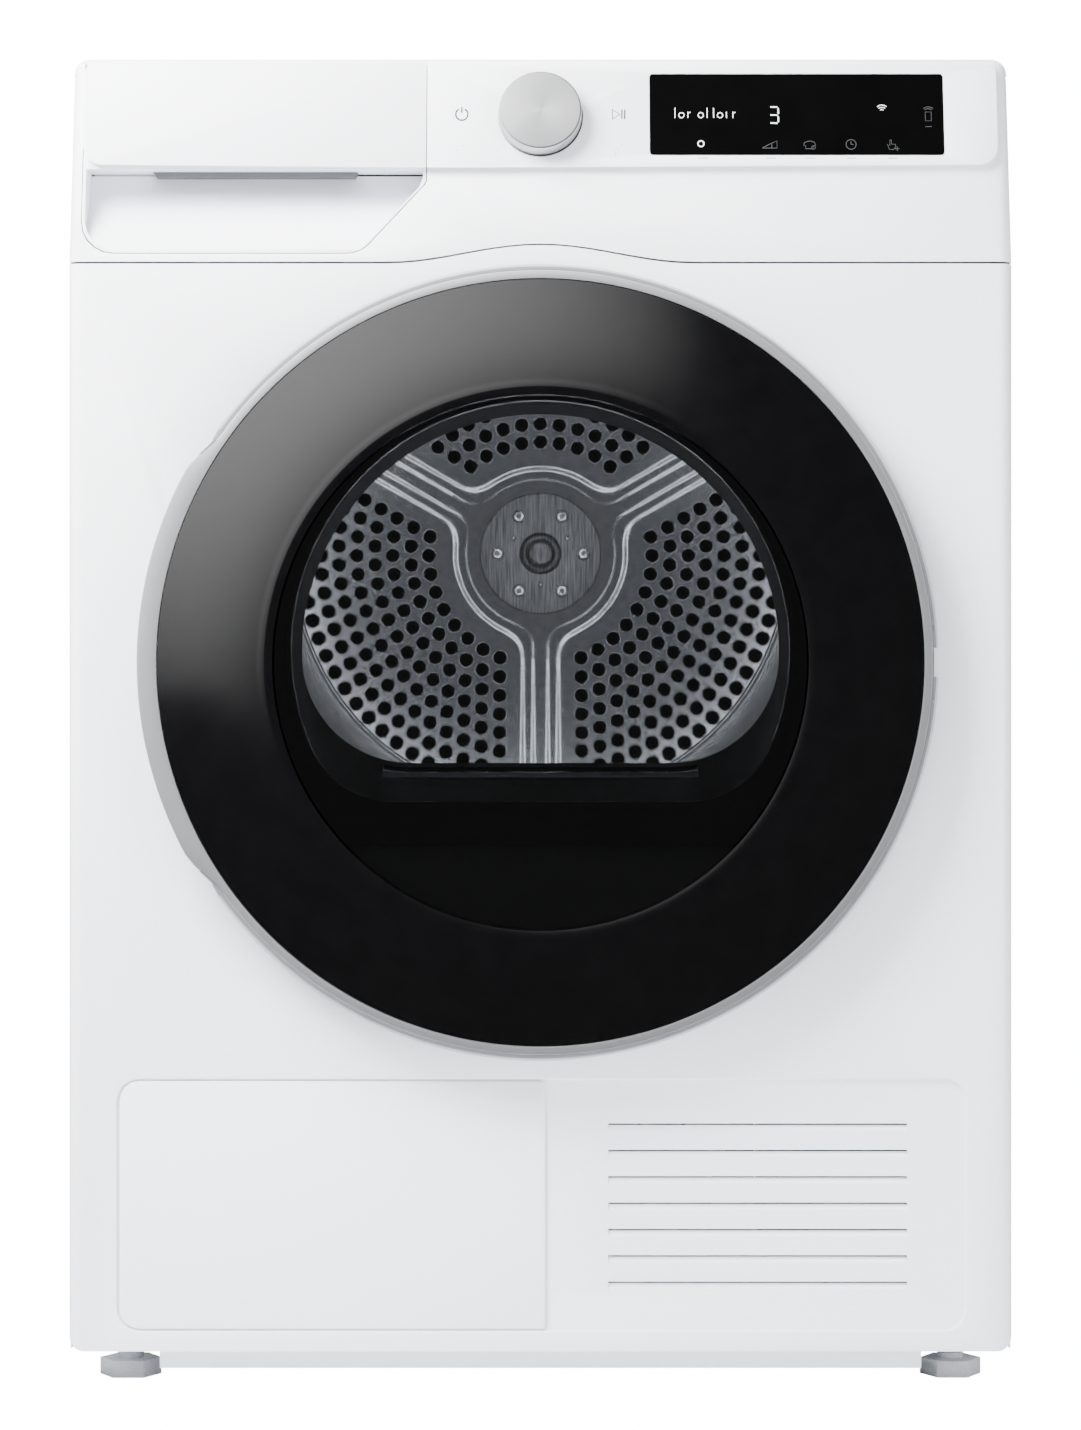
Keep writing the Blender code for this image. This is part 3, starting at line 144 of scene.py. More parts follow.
def makeFloor():
    shape = bmesh.new()
    bmesh.ops.create_grid(shape, x_segments=1, y_segments=1, size=room["floorSize"] / 2)
    mesh = bpy.data.meshes.new("floor")
    shape.to_mesh(mesh)
    shape.free()
    surface = bpy.data.materials.new("paleFloor")
    surface.use_nodes = True
    tree = surface.node_tree
    soft = tree.nodes["Principled BSDF"]
    soft.inputs["Base Color"].default_value = linear(room["floorColour"])
    soft.inputs["Roughness"].default_value = 0.8
    seen = addNode(tree, "ShaderNodeEmission", {"Strength": room["camera"]})
    mirrored = addNode(tree, "ShaderNodeEmission", {"Strength": room["glossy"]})
    both = shadeByRay(tree, seen, soft, mirrored)
    tree.links.new(both.outputs[0], tree.nodes["Material Output"].inputs["Surface"])
    mesh.materials.append(surface)
    floor = bpy.data.objects.new("floor", mesh)
    bpy.context.scene.collection.objects.link(floor)


def makeDrumLight(name):
    # a ring in the drum's mouth that glows towards its back and is clear from the front
    inner, outer, strength = drumLight[name]
    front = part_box("drum_shell")[0][1]
    centre = joints["drum_spin"]["pos_m"]
    shape = bmesh.new()
    turns = [2 * pi * i / 64 for i in range(64)]
    rings = []
    for radius in (inner, outer):
        y = front + drumLight["behind"] * mm
        spots = [(centre[0] + radius * cos(a), y, centre[2] + radius * sin(a)) for a in turns]
        rings.append([shape.verts.new(spot) for spot in spots])
    for i in range(64):
        shape.faces.new((rings[0][i - 1], rings[0][i], rings[1][i], rings[1][i - 1]))
    mesh = bpy.data.meshes.new(name)
    shape.to_mesh(mesh)
    shape.free()
    glow = bpy.data.materials.new(name)
    glow.use_nodes = True
    tree = glow.node_tree
    light = addNode(tree, "ShaderNodeEmission", {"Strength": strength})
    none = addNode(tree, "ShaderNodeBsdfTransparent")
    facing = addNode(tree, "ShaderNodeNewGeometry")
    both = addNode(tree, "ShaderNodeMixShader", links={"Fac": (facing, "Backfacing")})
    front, back = (light, none) if mesh.polygons[0].normal.y > 0 else (none, light)
    tree.links.new(front.outputs[0], both.inputs[1])
    tree.links.new(back.outputs[0], both.inputs[2])
    tree.links.new(both.outputs[0], tree.nodes["Material Output"].inputs["Surface"])
    mesh.materials.append(glow)
    ring = bpy.data.objects.new(name, mesh)
    bpy.context.scene.collection.objects.link(ring)


makeCamera()
makeWorld()
makeFloor()
makeLight("keyLight", keyLight)
makeLight("fillLight", fillLight)
makeDrumLight("softPanel")
makeDrumLight("ring")
print("camera and studio")

# materials


def newMaterial(name):
    surface = bpy.data.materials.new(name)
    surface.use_nodes = True
    tree = surface.node_tree
    return surface, tree, tree.nodes["Principled BSDF"]


def setShader(shader, values):
    for key, value in values.items():
        shader.inputs[key].default_value = value


def grainBump(tree, shader, size, depth, stretch=(1, 1, 1), detail=2.0):
    # size is the grain's real width in metres, depth its height
    spot = addNode(tree, "ShaderNodeTexCoord")
    turn = addNode(tree, "ShaderNodeMapping", {"Scale": stretch}, {"Vector": (spot, "Object")})
    pattern = {"Scale": 1 / size, "Detail": detail}
    grain = addNode(tree, "ShaderNodeTexNoise", pattern, {"Vector": (turn, "Vector")})
    bump = addNode(tree, "ShaderNodeBump", {"Distance": depth, "Strength": 0.5}, {"Height": (grain, "Fac")})
    tree.links.new(bump.outputs["Normal"], shader.inputs["Normal"])
    return grain


def mixColours(tree, shader, factor, low, high, socket="Base Color"):
    ramp = addNode(tree, "ShaderNodeValToRGB", links={"Fac": factor})
    ramp.color_ramp.elements[0].color = linear(low)
    ramp.color_ramp.elements[1].color = linear(high)
    ramp.color_ramp.elements[0].position = 0.3
    ramp.color_ramp.elements[1].position = 0.7
    tree.links.new(ramp.outputs["Color"], shader.inputs[socket])


def whiteEnamel():
    # baked enamel on steel sheet: glossy and very slightly rippled, like orange peel
    surface, tree, shader = newMaterial("whiteEnamel")
    setShader(shader, {"Roughness": 0.28, "IOR": 1.5, "Coat Weight": 0.25, "Coat Roughness": 0.12})
    grain = grainBump(tree, shader, 2.5 * mm, 0.02 * mm)
    mixColours(tree, shader, (grain, "Fac"), "E9EBF1", "EDEFF4")
    return surface


def whiteMoulded():
    # moulded white ABS: a satin skin with a fine spark-eroded grain
    surface, tree, shader = newMaterial("whiteMoulded")
    setShader(shader, {"Roughness": 0.36, "IOR": 1.53})
    grain = grainBump(tree, shader, 0.8 * mm, 0.015 * mm)
    mixColours(tree, shader, (grain, "Fac"), "ECEEF4", "F0F2F7")
    return surface


def blackLacquer():
    # piano-black lacquered ABS: deep black with a clear, mirror-like coat
    surface, tree, shader = newMaterial("blackLacquer")
    setShader(shader, {"Roughness": 0.16, "IOR": 1.5})
    grain = grainBump(tree, shader, 14 * mm, 0.02 * mm)
    mixColours(tree, shader, (grain, "Fac"), "020203", "040405")
    return surface


def glossBlack():
    # display glass over a dark mask: a weak, even reflection
    surface, tree, shader = newMaterial("displayGlass")
    setShader(shader, {"Roughness": 0.08, "IOR": 1.5, "Specular IOR Level": 0.03})
    grain = grainBump(tree, shader, 30 * mm, 0.01 * mm)
    mixColours(tree, shader, (grain, "Fac"), "000000", "010101")
    return surface


def satinSilver():
    # silver lacquer on ABS: fine metal flakes under a satin coat
    surface, tree, shader = newMaterial("satinSilver")
    setShader(shader, {"Metallic": 0.82, "Roughness": 0.34, "Coat Weight": 0.2, "Coat Roughness": 0.3})
    grain = grainBump(tree, shader, 0.5 * mm, 0.01 * mm)
    mixColours(tree, shader, (grain, "Fac"), "AEAFB2", "BBBCBF")
    return surface


def spunAluminium(centre, out):
    # turned aluminium: fine rings round the axis stretch each highlight into a wedge
    surface, tree, shader = newMaterial("spunAluminium")
    setShader(shader, {"Metallic": 1.0, "Roughness": 0.33, "Anisotropic": 0.95})
    spot = addNode(tree, "ShaderNodeTexCoord")
    arm = addNode(tree, "ShaderNodeVectorMath", {"operation": "SUBTRACT"}, {"Vector": (spot, "Object")})
    arm.inputs[1].default_value = centre
    cross = {"operation": "CROSS_PRODUCT"}
    across = addNode(tree, "ShaderNodeVectorMath", cross, {"Vector": (arm, "Vector")})
    across.inputs[1].default_value = out
    way = addNode(tree, "ShaderNodeVectorMath", {"operation": "NORMALIZE"}, {"Vector": (arm, "Vector")})
    tree.links.new(way.outputs["Vector"], shader.inputs["Tangent"])
    reach = addNode(tree, "ShaderNodeVectorMath", {"operation": "LENGTH"}, {"Vector": (across, "Vector")})
    turning = {"noise_dimensions": "1D", "Scale": 1 / (0.25 * mm), "Detail": 1.0}
    rings = addNode(tree, "ShaderNodeTexNoise", turning)
    tree.links.new(reach.outputs["Value"], rings.inputs["W"])
    groove = {"Distance": 0.004 * mm, "Strength": 0.5}
    bump = addNode(tree, "ShaderNodeBump", groove, {"Height": (rings, "Fac")})
    tree.links.new(bump.outputs["Normal"], shader.inputs["Normal"])
    mixColours(tree, shader, (rings, "Fac"), "C9CACD", "DCDDE0")
    return surface


def stainless(name, low, high, rough, stretch=(1, 1, 1), size=6.0, depth=0.02, metal=1.0):
    # rolled stainless sheet: faint grain along the rolling direction, bright on every pressed edge
    surface, tree, shader = newMaterial(name)
    setShader(shader, {"Metallic": metal, "Roughness": rough})
    grain = grainBump(tree, shader, size * mm, depth * mm, stretch, 4.0)
    mixColours(tree, shader, (grain, "Fac"), low, high)
    return surface


def moulded(name, low, high, rough, size=0.9, depth=0.03, mirror=0.5):
    # plain moulded plastic with a fine grain
    surface, tree, shader = newMaterial(name)
    setShader(shader, {"Roughness": rough, "IOR": 1.5, "Specular IOR Level": mirror})
    grain = grainBump(tree, shader, size * mm, depth * mm)
    mixColours(tree, shader, (grain, "Fac"), low, high)
    return surface


def clearPane(name, tint, strength):
    # clear plastic pane: what is behind shows through, and the surface mirrors at a slant
    surface, tree, shader = newMaterial(name)
    tree.nodes.remove(shader)
    through = addNode(tree, "ShaderNodeBsdfTransparent", {"Color": linear(tint)})
    mirror = addNode(tree, "ShaderNodeBsdfGlossy", {"Color": (1, 1, 1, 1), "Roughness": 0.04})
    slant = addNode(tree, "ShaderNodeFresnel", {"IOR": strength})
    both = addNode(tree, "ShaderNodeMixShader", links={"Fac": (slant, "Fac")})
    tree.links.new(through.outputs[0], both.inputs[1])
    tree.links.new(mirror.outputs[0], both.inputs[2])
    tree.links.new(both.outputs[0], tree.nodes["Material Output"].inputs["Surface"])
    return surface


def printedInk(name, colour, glow=0.0):
    # screen-printed ink: flat and even, and a lit segment where it glows
    surface, _, shader = newMaterial(name)
    setShader(shader, {"Base Color": linear(colour), "Roughness": 0.5})
    setShader(shader, {"Emission Color": linear(colour), "Emission Strength": glow})
    return surface


knobJoint = joints["knob_turn"]
knobCentre, knobOut = Vector(knobJoint["pos_m"]), Vector(knobJoint["axis"]).normalized()
lean = atan2(knobOut.z, -knobOut.y)
finishes = {
    "enamel": whiteEnamel(),
    "white": whiteMoulded(),
    "black": blackLacquer(),
    "silver": satinSilver(),
    # painted shade: a dark grey for the silver trim's outer wall, standing in for its shade and dark
    # reflections
    "trimWallShade": moulded("trimWallShadeGrey", "3B3C3F", "444548", 0.35, mirror=0.3),
    "spun": spunAluminium(knobCentre, knobOut),
    "skirt": stainless("turnedSkirt", "A6A7AA", "B4B5B8", 0.36, size=1.0, depth=0.004),
    "drum": stainless("drumSteel", "A8A9AC", "B4B5B8", 0.19, depth=0.003),
    "hub": stainless("brushedHub", "67686A", "A3A4A6", 0.46, (4, 4, 0.2), 5.0, 0.05),
    "zinc": stainless("galvanisedSheet", "A4A7AA", "B2B5B8", 0.45, size=9.0, depth=0.01, metal=0.4),
    "bright": stainless("screwSteel", "B5B6B8", "CACBCD", 0.22),
    "alu": stainless("aluminiumFins", "A9ABAD", "C4C6C8", 0.35, (60, 1, 1), 60.0, 0.4),
    "dark": moulded("darkMoulded", "060607", "0A0A0B", 0.32),
    "sill": moulded("blackSill", "020202", "060607", 0.30, 9.0, 0.10, 0.012),
    "grey": moulded("greyMoulded", "B0B2B6", "BDBFC3", 0.45),
    "foot": moulded("footPlastic", "9A9CA0", "B3B5B9", 0.50),
    "rubber": moulded("blackRubber", "101011", "1B1B1D", 0.75),
    "felt": moulded("woolFelt", "6B6B6B", "858585", 0.95, 1.2, 0.4),
    "copper": stainless("copperTube", "A5673F", "C07F52", 0.32),
    # painted shade: near-black for the disc behind the air holes
    "ductShadeDisc": moulded("ductShade", "050505", "1A1A1B", 0.70, 22.0, 0.5, 0.05),
    "pane": clearPane("clearPane", "D9DADC", 1.35),
    "bowl": clearPane("clearBowl", "F4F5F6", 1.004),
    "glossBlack": glossBlack(),
    # painted shade: the grey of the dark box in the finger opening
    "shade": moulded("shadeGrey", "4A4C50", "5A5C60", 0.6),
    "printGrey": printedInk("printGrey", "1E1F21"),
    "printLight": printedInk("printLight", "6A6C70"),
    "litWhite": printedInk("litWhite", "D8DADE", 0.5),
    "dimWhite": printedInk("dimWhite", "2C2E31", 0.3),
}
print("materials:", len(finishes))

# making pieces


def makePiece(name, shape, finish, body, replaced=(), sharp=35, weld=0.00001):
    bmesh.ops.remove_doubles(shape, verts=shape.verts, dist=weld)
    bmesh.ops.recalc_face_normals(shape, faces=shape.faces)
    mesh = bpy.data.meshes.new(name)
    shape.to_mesh(mesh)
    shape.free()
    mesh.shade_smooth()
    mesh.set_sharp_from_angle(angle=radians(sharp))
    piece = bpy.data.objects.new(name, mesh)
    mesh.materials.append(finishes[finish])
    bpy.context.scene.collection.objects.link(piece)
    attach(piece, body)
    if replaced:
        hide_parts(*replaced)
    return piece


def spinProfile(profile, centre, steps=160, shape=None, axis=(0, 1, 0), closed=True):
    # turns (radius, depth) points about an axis along Y through centre (x, z)
    shape = shape or bmesh.new()
    ring = [shape.verts.new((centre[0] + radius, depth, centre[1])) for radius, depth in profile]
    pairs = list(zip(ring, ring[1:]))
    if closed:
        pairs.append((ring[-1], ring[0]))
    edges = [shape.edges.new(pair) for pair in pairs]
    bmesh.ops.spin(shape, geom=ring + edges, cent=(centre[0], 0, centre[1]), axis=axis,
                   angle=2 * pi, steps=steps, use_merge=True)
    return shape


def offOutline(x, z, box, radius):
    # distance from a rectangle with rounded corners, given as (x0, x1, z0, z1)
    x0, x1, z0, z1 = box
    dx = abs(x - (x0 + x1) / 2) - (x1 - x0) / 2 + radius
    dz = abs(z - (z0 + z1) / 2) - (z1 - z0) / 2 + radius
    return abs(hypot(max(dx, 0), max(dz, 0)) + min(max(dx, dz), 0) - radius)


def softened(node, finish, width=0.6, segments=2, name=None, angle=30, pressed=None):
    # a copy of a CAD node with its flat faces merged and its edges rounded
    shape = bmesh.new()
    shape.from_mesh(nodes[node].data)
    bmesh.ops.remove_doubles(shape, verts=shape.verts, dist=0.00002)
    bmesh.ops.dissolve_limit(shape, angle_limit=radians(1), verts=shape.verts, edges=shape.edges)
    if pressed:
        rims = []
        for edge in shape.edges:
            near = all(offOutline(v.co.x, v.co.z, pressed["outline"], pressed["radius"]) < 0.4 * mm
                       and pressed["front"] < v.co.y < pressed["back"] for v in edge.verts)
            if near and len(edge.link_faces) == 2 and edge.calc_face_angle(0) > radians(angle):
                rims.append(edge)
        bmesh.ops.bevel(shape, geom=rims, offset=pressed["soft"] * mm, offset_type="OFFSET", segments=4,
                        profile=0.5, affect="EDGES", clamp_overlap=True, material=-1)
    sharp = [edge for edge in shape.edges if len(edge.link_faces) == 2
             and edge.calc_face_angle(0) > radians(angle)]
    bmesh.ops.bevel(shape, geom=sharp, offset=width * mm, offset_type="OFFSET", segments=segments,
                    profile=0.5, affect="EDGES", clamp_overlap=True, material=-1)
    return makePiece(name or node + "Soft", shape, finish, bodyOf[node], (node,))


def dOutline(centreZ, radius, bottom, fillet, steps=72):
    # a circle cut off flat at the bottom, with rounded lower corners, as (x, z)
    rise = centreZ - bottom - fillet
    across = sqrt((radius - fillet) ** 2 - rise ** 2)
    start = atan2(-rise, across)
    side = steps // 4
    arcs = [((0, centreZ), radius, start, pi - start, steps)]
    arcs.append(((-across, bottom + fillet), fillet, pi - start, 1.5 * pi, side))
    arcs.append(((across, bottom + fillet), fillet, -pi / 2, start, side))
    points = []
    for i, (centre, reach, first, last, count) in enumerate(arcs):
        for k in range(count + (i == 0)):
            k += i == 1
            a = first + (last - first) * k / count
            points.append((centre[0] + reach * cos(a), centre[1] + reach * sin(a)))
    return points


def skinLoops(shape, loops, capEnds=False):
    # joins closed loops of points in order with quads
    rows = [[shape.verts.new(point) for point in loop] for loop in loops]
    edges = []
    for row in rows:
        edges.append([shape.edges.new((row[i - 1], row[i])) for i in range(len(row))])
    for one, two in zip(edges, edges[1:]):
        bmesh.ops.bridge_loops(shape, edges=one + two)
    if capEnds:
        shape.faces.new(rows[0])
        shape.faces.new(rows[-1])
    return shape


# door

doorParts = {"ringOuter": 0.2409, "ringCrest": 0.1725, "rise": 9.5, "bulge": 12.5, "innerDrop": 0.4,
             "trimInner": 0.2413, "trimFace": 0.2465, "trimBase": 0.2525, "gripFace": 0.2538,
             "gripHalf": 28, "gripBlend": 8, "wallFrom": 0.2467, "lipFrom": 0.2510}
# the hinge's room from its pin: across from, across to, in front, half height, in mm
hingeSpace = {"notch": (-5.8, 19, 9.0, 9.2), "pocket": (-24.8, 4.8, 6.2, 23.7), "back": -0.2695}


def doorCentre():
    low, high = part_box("door_window")
    return ((low[0] + high[0]) / 2, (low[2] + high[2]) / 2)


def makeDoorRing():
    low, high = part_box("door_ring")
    front, back = low[1], high[1]
    outer, crest = doorParts["ringOuter"], doorParts["ringCrest"]
    inner = (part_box("door_window")[1][0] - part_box("door_window")[0][0]) / 2 + 0.4 * mm
    profile = [(inner, back)]
    for i in range(9):
        t = 1 - i / 8.0
        profile.append((inner + (crest - inner) * i / 8, front + doorParts["innerDrop"] * mm * t ** 2))
    for i in range(1, 25):
        t = i / 24
        fall = doorParts["rise"] * t + doorParts["bulge"] * t ** 2
        profile.append((crest + (outer - crest) * t, front + 0.3 * mm + fall * mm * (1 - 0.3 / 22)))
    profile.append((outer, back))
    shape = spinProfile(profile, doorCentre(), 180)
    makePiece("doorRing", shape, "black", "door", ("door_ring",), 50)


def gripShare(angle):
    inner, outer = radians(doorParts["gripHalf"]), radians(doorParts["gripHalf"] + doorParts["gripBlend"])
    t = min(1.0, max(0.0, (outer - abs(abs(angle) - pi)) / (outer - inner)))
    return t * t * (3 - 2 * t)


def makeDoorTrim():
    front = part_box("door_trim")[0][1]
    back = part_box("door_trim")[1][1]
    inner, face, base = doorParts["trimInner"], doorParts["trimFace"], doorParts["trimBase"]
    plain = [(inner, back), (inner, front + 0.3 * mm), (inner + 0.3 * mm, front), (face - 0.6 * mm, front),
             (face - 0.2 * mm, front + 0.2 * mm), (face, front + 0.7 * mm),
             (face + 1.2 * mm, front + 2.5 * mm),
             (base - 1.9 * mm, back - 6 * mm), (base - 1.0 * mm, back - 4.0 * mm), (base, back)]
    wide = doorParts["gripFace"]
    grip = [(inner, back), (inner, front + 0.3 * mm), (inner + 0.3 * mm, front), (wide - 0.9 * mm, front),
            (wide - 0.3 * mm, front + 0.2 * mm), (wide, front + 0.9 * mm),
            (wide + 0.2 * mm, front + 2.6 * mm),
            (inner + 3.5 * mm, back - 17 * mm), (inner + 3.2 * mm, back - 9 * mm), (inner + 3.0 * mm, back)]
    centre = doorCentre()
    shape = spinProfile(plain, centre, 240)
    # the grip: each point moves from the plain section to the grip's by its angle
    for vert in shape.verts:
        x, z = vert.co.x - centre[0], vert.co.z - centre[1]
        radius, angle = hypot(x, z), atan2(z, x)
        share = gripShare(angle)
        if share == 0:
            continue
        near = min(range(len(plain)), key=lambda i: hypot(plain[i][0] - radius, plain[i][1] - vert.co.y))
        wanted = plain[near][0] + (grip[near][0] - plain[near][0]) * share
        vert.co.y = plain[near][1] + (grip[near][1] - plain[near][1]) * share
        vert.co.x, vert.co.z = centre[0] + wanted * cos(angle), centre[1] + wanted * sin(angle)
    trim = makePiece("doorTrim", shape, "silver", "door", ("door_trim",), 40)
    carve(trim, hingeRoom())
    # the outer wall between face and lip is painted a darker grey, except at the grip: painted shade for the
    # shadow gap and the dark room that this silver wall mirrors
    trim.data.materials.append(finishes["trimWallShade"])
    for face in trim.data.polygons:
        x, z = face.center.x - centre[0], face.center.z - centre[1]
        onWall = doorParts["wallFrom"] < hypot(x, z) < doorParts["lipFrom"]
        if onWall and gripShare(atan2(z, x)) < 0.5:
            face.material_index = 1


def hingeRoom():
    # the notch that the cabinet's lug swings through, and the pocket of the knuckles
    x, y, z = joints["door_hinge"]["pos_m"]
    shape = bmesh.new()
    for name in ("notch", "pocket"):
        left, right, ahead, half = (value * mm for value in hingeSpace[name])
        a, b = Vector((x + left, y - ahead, z - half)), Vector((x + right, hingeSpace["back"], z + half))
        size = Matrix.Diagonal((*(b - a), 1))
        bmesh.ops.create_cube(shape, size=1, matrix=Matrix.Translation((a + b) / 2) @ size)
    return shape


def carve(piece, cutterShape):
    mesh = bpy.data.meshes.new("cutter")
    cutterShape.to_mesh(mesh)
    cutterShape.free()
    cutter = bpy.data.objects.new("cutter", mesh)
    bpy.context.scene.collection.objects.link(cutter)
    step = piece.modifiers.new("carve", "BOOLEAN")
    step.object = cutter
    step.use_self = True
    bpy.context.view_layer.update()
    result = bpy.data.meshes.new_from_object(piece.evaluated_get(bpy.context.evaluated_depsgraph_get()))
    piece.modifiers.remove(step)
    old = piece.data
    piece.data = result
    bpy.data.meshes.remove(old)
    bpy.data.objects.remove(cutter)


def makeDoorWindow():
    low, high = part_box("door_window")
    radius = (high[0] - low[0]) / 2
    edge = 0.4 * mm
    profile = [(0, low[1]), (radius - edge, low[1]), (radius, low[1] + edge), (radius, high[1]), (0, high[1])]
    shape = spinProfile(profile, doorCentre(), 160, closed=False)
    makePiece("doorWindow", shape, "pane", "door", ("door_window",))


bowl = {"root": (0.470, 0.1570, 0.3740, 0.056), "end": (0.476, 0.1280, 0.4080, 0.050), "wall": 3.5}


def makeDoorGlass():
    low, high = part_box("door_glass")
    root, end, wall = bowl["root"], bowl["end"], bowl["wall"] * mm
    inside = [tuple(a + b * wall for a, b in zip(size, (0, -1, 1, -1))) for size in (root, end)]
    rings = [(inside[1], high[1] - wall), (inside[0], low[1]), (root, low[1]), (root, low[1] + 16 * mm)]
    rings.append((end, high[1]))
    loops = [[(x, y, z) for x, z in dOutline(*size)] for size, y in rings]
    shape = skinLoops(bmesh.new(), loops, True)
    rims = [e for e in shape.edges if e.calc_face_angle(0) > radians(40)]
    bmesh.ops.bevel(shape, geom=rims, offset=2.4 * mm, segments=3, profile=0.5, affect="EDGES",
                    clamp_overlap=True, material=-1)
    makePiece("doorBowl", shape, "bowl", "door", ("door_glass",))


mask = {"view": (0.470, 0.1560, 0.3750, 0.056), "gap": 0.6, "behind": 0.4, "deep": 12, "wall": 0.6}


def makeWindowMask():
    # black backing that leaves only the D-shaped view through the window
    low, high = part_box("door_window")
    radius = (high[0] - low[0]) / 2 - mask["gap"] * mm
    centre = doorCentre()
    view = dOutline(*mask["view"], 96)
    y = high[1] + mask["behind"] * mm
    outer = []
    for x, z in view:
        a = atan2(z - centre[1], x - centre[0])
        outer.append((centre[0] + radius * cos(a), y, centre[1] + radius * sin(a)))
    loops = [outer, [(x, y, z) for x, z in view], [(x, y + mask["deep"] * mm, z) for x, z in view]]
    shape = skinLoops(bmesh.new(), loops)
    bmesh.ops.solidify(shape, geom=shape.faces, thickness=mask["wall"] * mm)
    makePiece("windowMask", shape, "black", "door")


makeDoorRing()
makeDoorTrim()
makeDoorWindow()
makeDoorGlass()
makeWindowMask()
print("door")

# tunnel behind the door

tunnel = {"mouth": (0.470, 0.1665, 0.3630, 0.061), "end": (0.468, 0.1580, 0.3950, 0.072), "wall": 3.0}


def makeTunnel():
    # throat with its sill, a flange at the mouth and the filter's slot
    low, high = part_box("door_tunnel")
    mouth, end, wall = tunnel["mouth"], tunnel["end"], tunnel["wall"] * mm
    fat = [tuple(a + b * wall for a, b in zip(size, (0, 1, -1, 1))) for size in (mouth, end)]
    front, back = low[1], high[1]
    sections = [(mouth, front), (end, back), (fat[1], back), (fat[0], front + 4.5 * mm)]
    loops = [[(x, y, z) for x, z in dOutline(*size, 96)] for size, y in sections]
    radius = (high[0] - low[0]) / 2
    middle = high[2] - radius
    turns = [atan2(z - middle, x) for x, z in dOutline(*mouth, 96)]
    flange = [(radius * cos(a), middle + radius * sin(a)) for a in turns]
    loops.append([(x, front + 4.2 * mm, z) for x, z in flange])
    loops.append([(x, front, z) for x, z in flange])
    loops.append(loops[0])
    shape = skinLoops(bmesh.new(), loops)
    piece = makePiece("doorTunnel", shape, "sill", "root", ("door_tunnel",))
    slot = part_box("lint_filter")
    room = bmesh.new()
    size = (slot[1][0] - slot[0][0] + 1 * mm, slot[1][1] - slot[0][1] + 1 * mm, 0.06)
    place = Matrix.Translation((0, (slot[0][1] + slot[1][1]) / 2, slot[1][2]))
    bmesh.ops.create_cube(room, size=1, matrix=place @ Matrix.Diagonal((*size, 1)))
    carve(piece, room)


makeTunnel()
print("tunnel")

# drum

plate = {"hubRadius": 0.0460, "channel": 0.0560, "spokeChannel": 0.0050, "ridge": 1.15, "fillet": 0.016,
         "fieldInner": 0.0780, "fieldOuter": 0.1870, "spokeBand": 0.0219,
         "rows": 8, "firstRow": 0.0848, "rowPitch": 0.01366, "firstCount": 9, "endOffset": 0.0315,
         "holeRadius": 4.9, "rimRadius": 6.0, "rimHeight": 0.6, "spokes": (270, 30, 150)}


def smooth(low, high, value):
    t = min(1.0, max(0.0, (value - low) / (high - low)))
    return t * t * (3 - 2 * t)


def softMin(a, b, fillet):
    t = max(0.0, min(1.0, 0.5 + 0.5 * (b - a) / fillet))
    return b + (a - b) * t - fillet * t * (1 - t)


def pressing(x, z):
    # height of the ridge that runs round the hub and along both sides of each spoke
    radius = hypot(x, z)
    off = radius - plate["channel"]
    for spoke in plate["spokes"]:
        a = radians(spoke)
        along, across = x * cos(a) + z * sin(a), abs(z * cos(a) - x * sin(a))
        if along > 0:
            off = softMin(off, across - plate["spokeChannel"], plate["fillet"])
    up = smooth(-2.2 * mm, 3.2 * mm, off) * (1 - smooth(5.6 * mm, 11.4 * mm, off))
    return up * plate["ridge"] * mm * (1 - smooth(0.176, 0.186, radius))


def platePoint(x, z):
    return (x, plateFace - pressing(x, z), drumZ + z)


def makeHubZone(shape):
    rings, steps = 34, 240
    first, last = plate["hubRadius"] - 1 * mm, 0.0800
    rows = []
    for i in range(rings + 1):
        radius = first + (last - first) * i / rings
        turns = [2 * pi * k / steps for k in range(steps)]
        rows.append([shape.verts.new(platePoint(radius * cos(a), radius * sin(a))) for a in turns])
    joinRows(shape, rows, True)


def joinRows(shape, rows, around=False):
    for one, two in zip(rows, rows[1:]):
        for i in range(len(one) - (not around)):
            k = (i + 1) % len(one)
            shape.faces.new((one[i], one[k], two[k], two[i]))


def makeSpoke(shape, spoke):
    a = radians(spoke)
    cells, length = 36, 40
    rows = []
    for i in range(cells + 1):
        across = (plate["spokeBand"] + 1.5 * mm) * (2 * i / cells - 1)
        start, end = sqrt(0.0800 ** 2 - across ** 2), sqrt(plate["fieldOuter"] ** 2 - across ** 2)
        row = []
        for k in range(length + 1):
            along = start + (end - start) * k / length
            x, z = along * cos(a) - across * sin(a), along * sin(a) + across * cos(a)
            row.append(shape.verts.new(platePoint(x, z)))
        rows.append(row)
    joinRows(shape, rows)


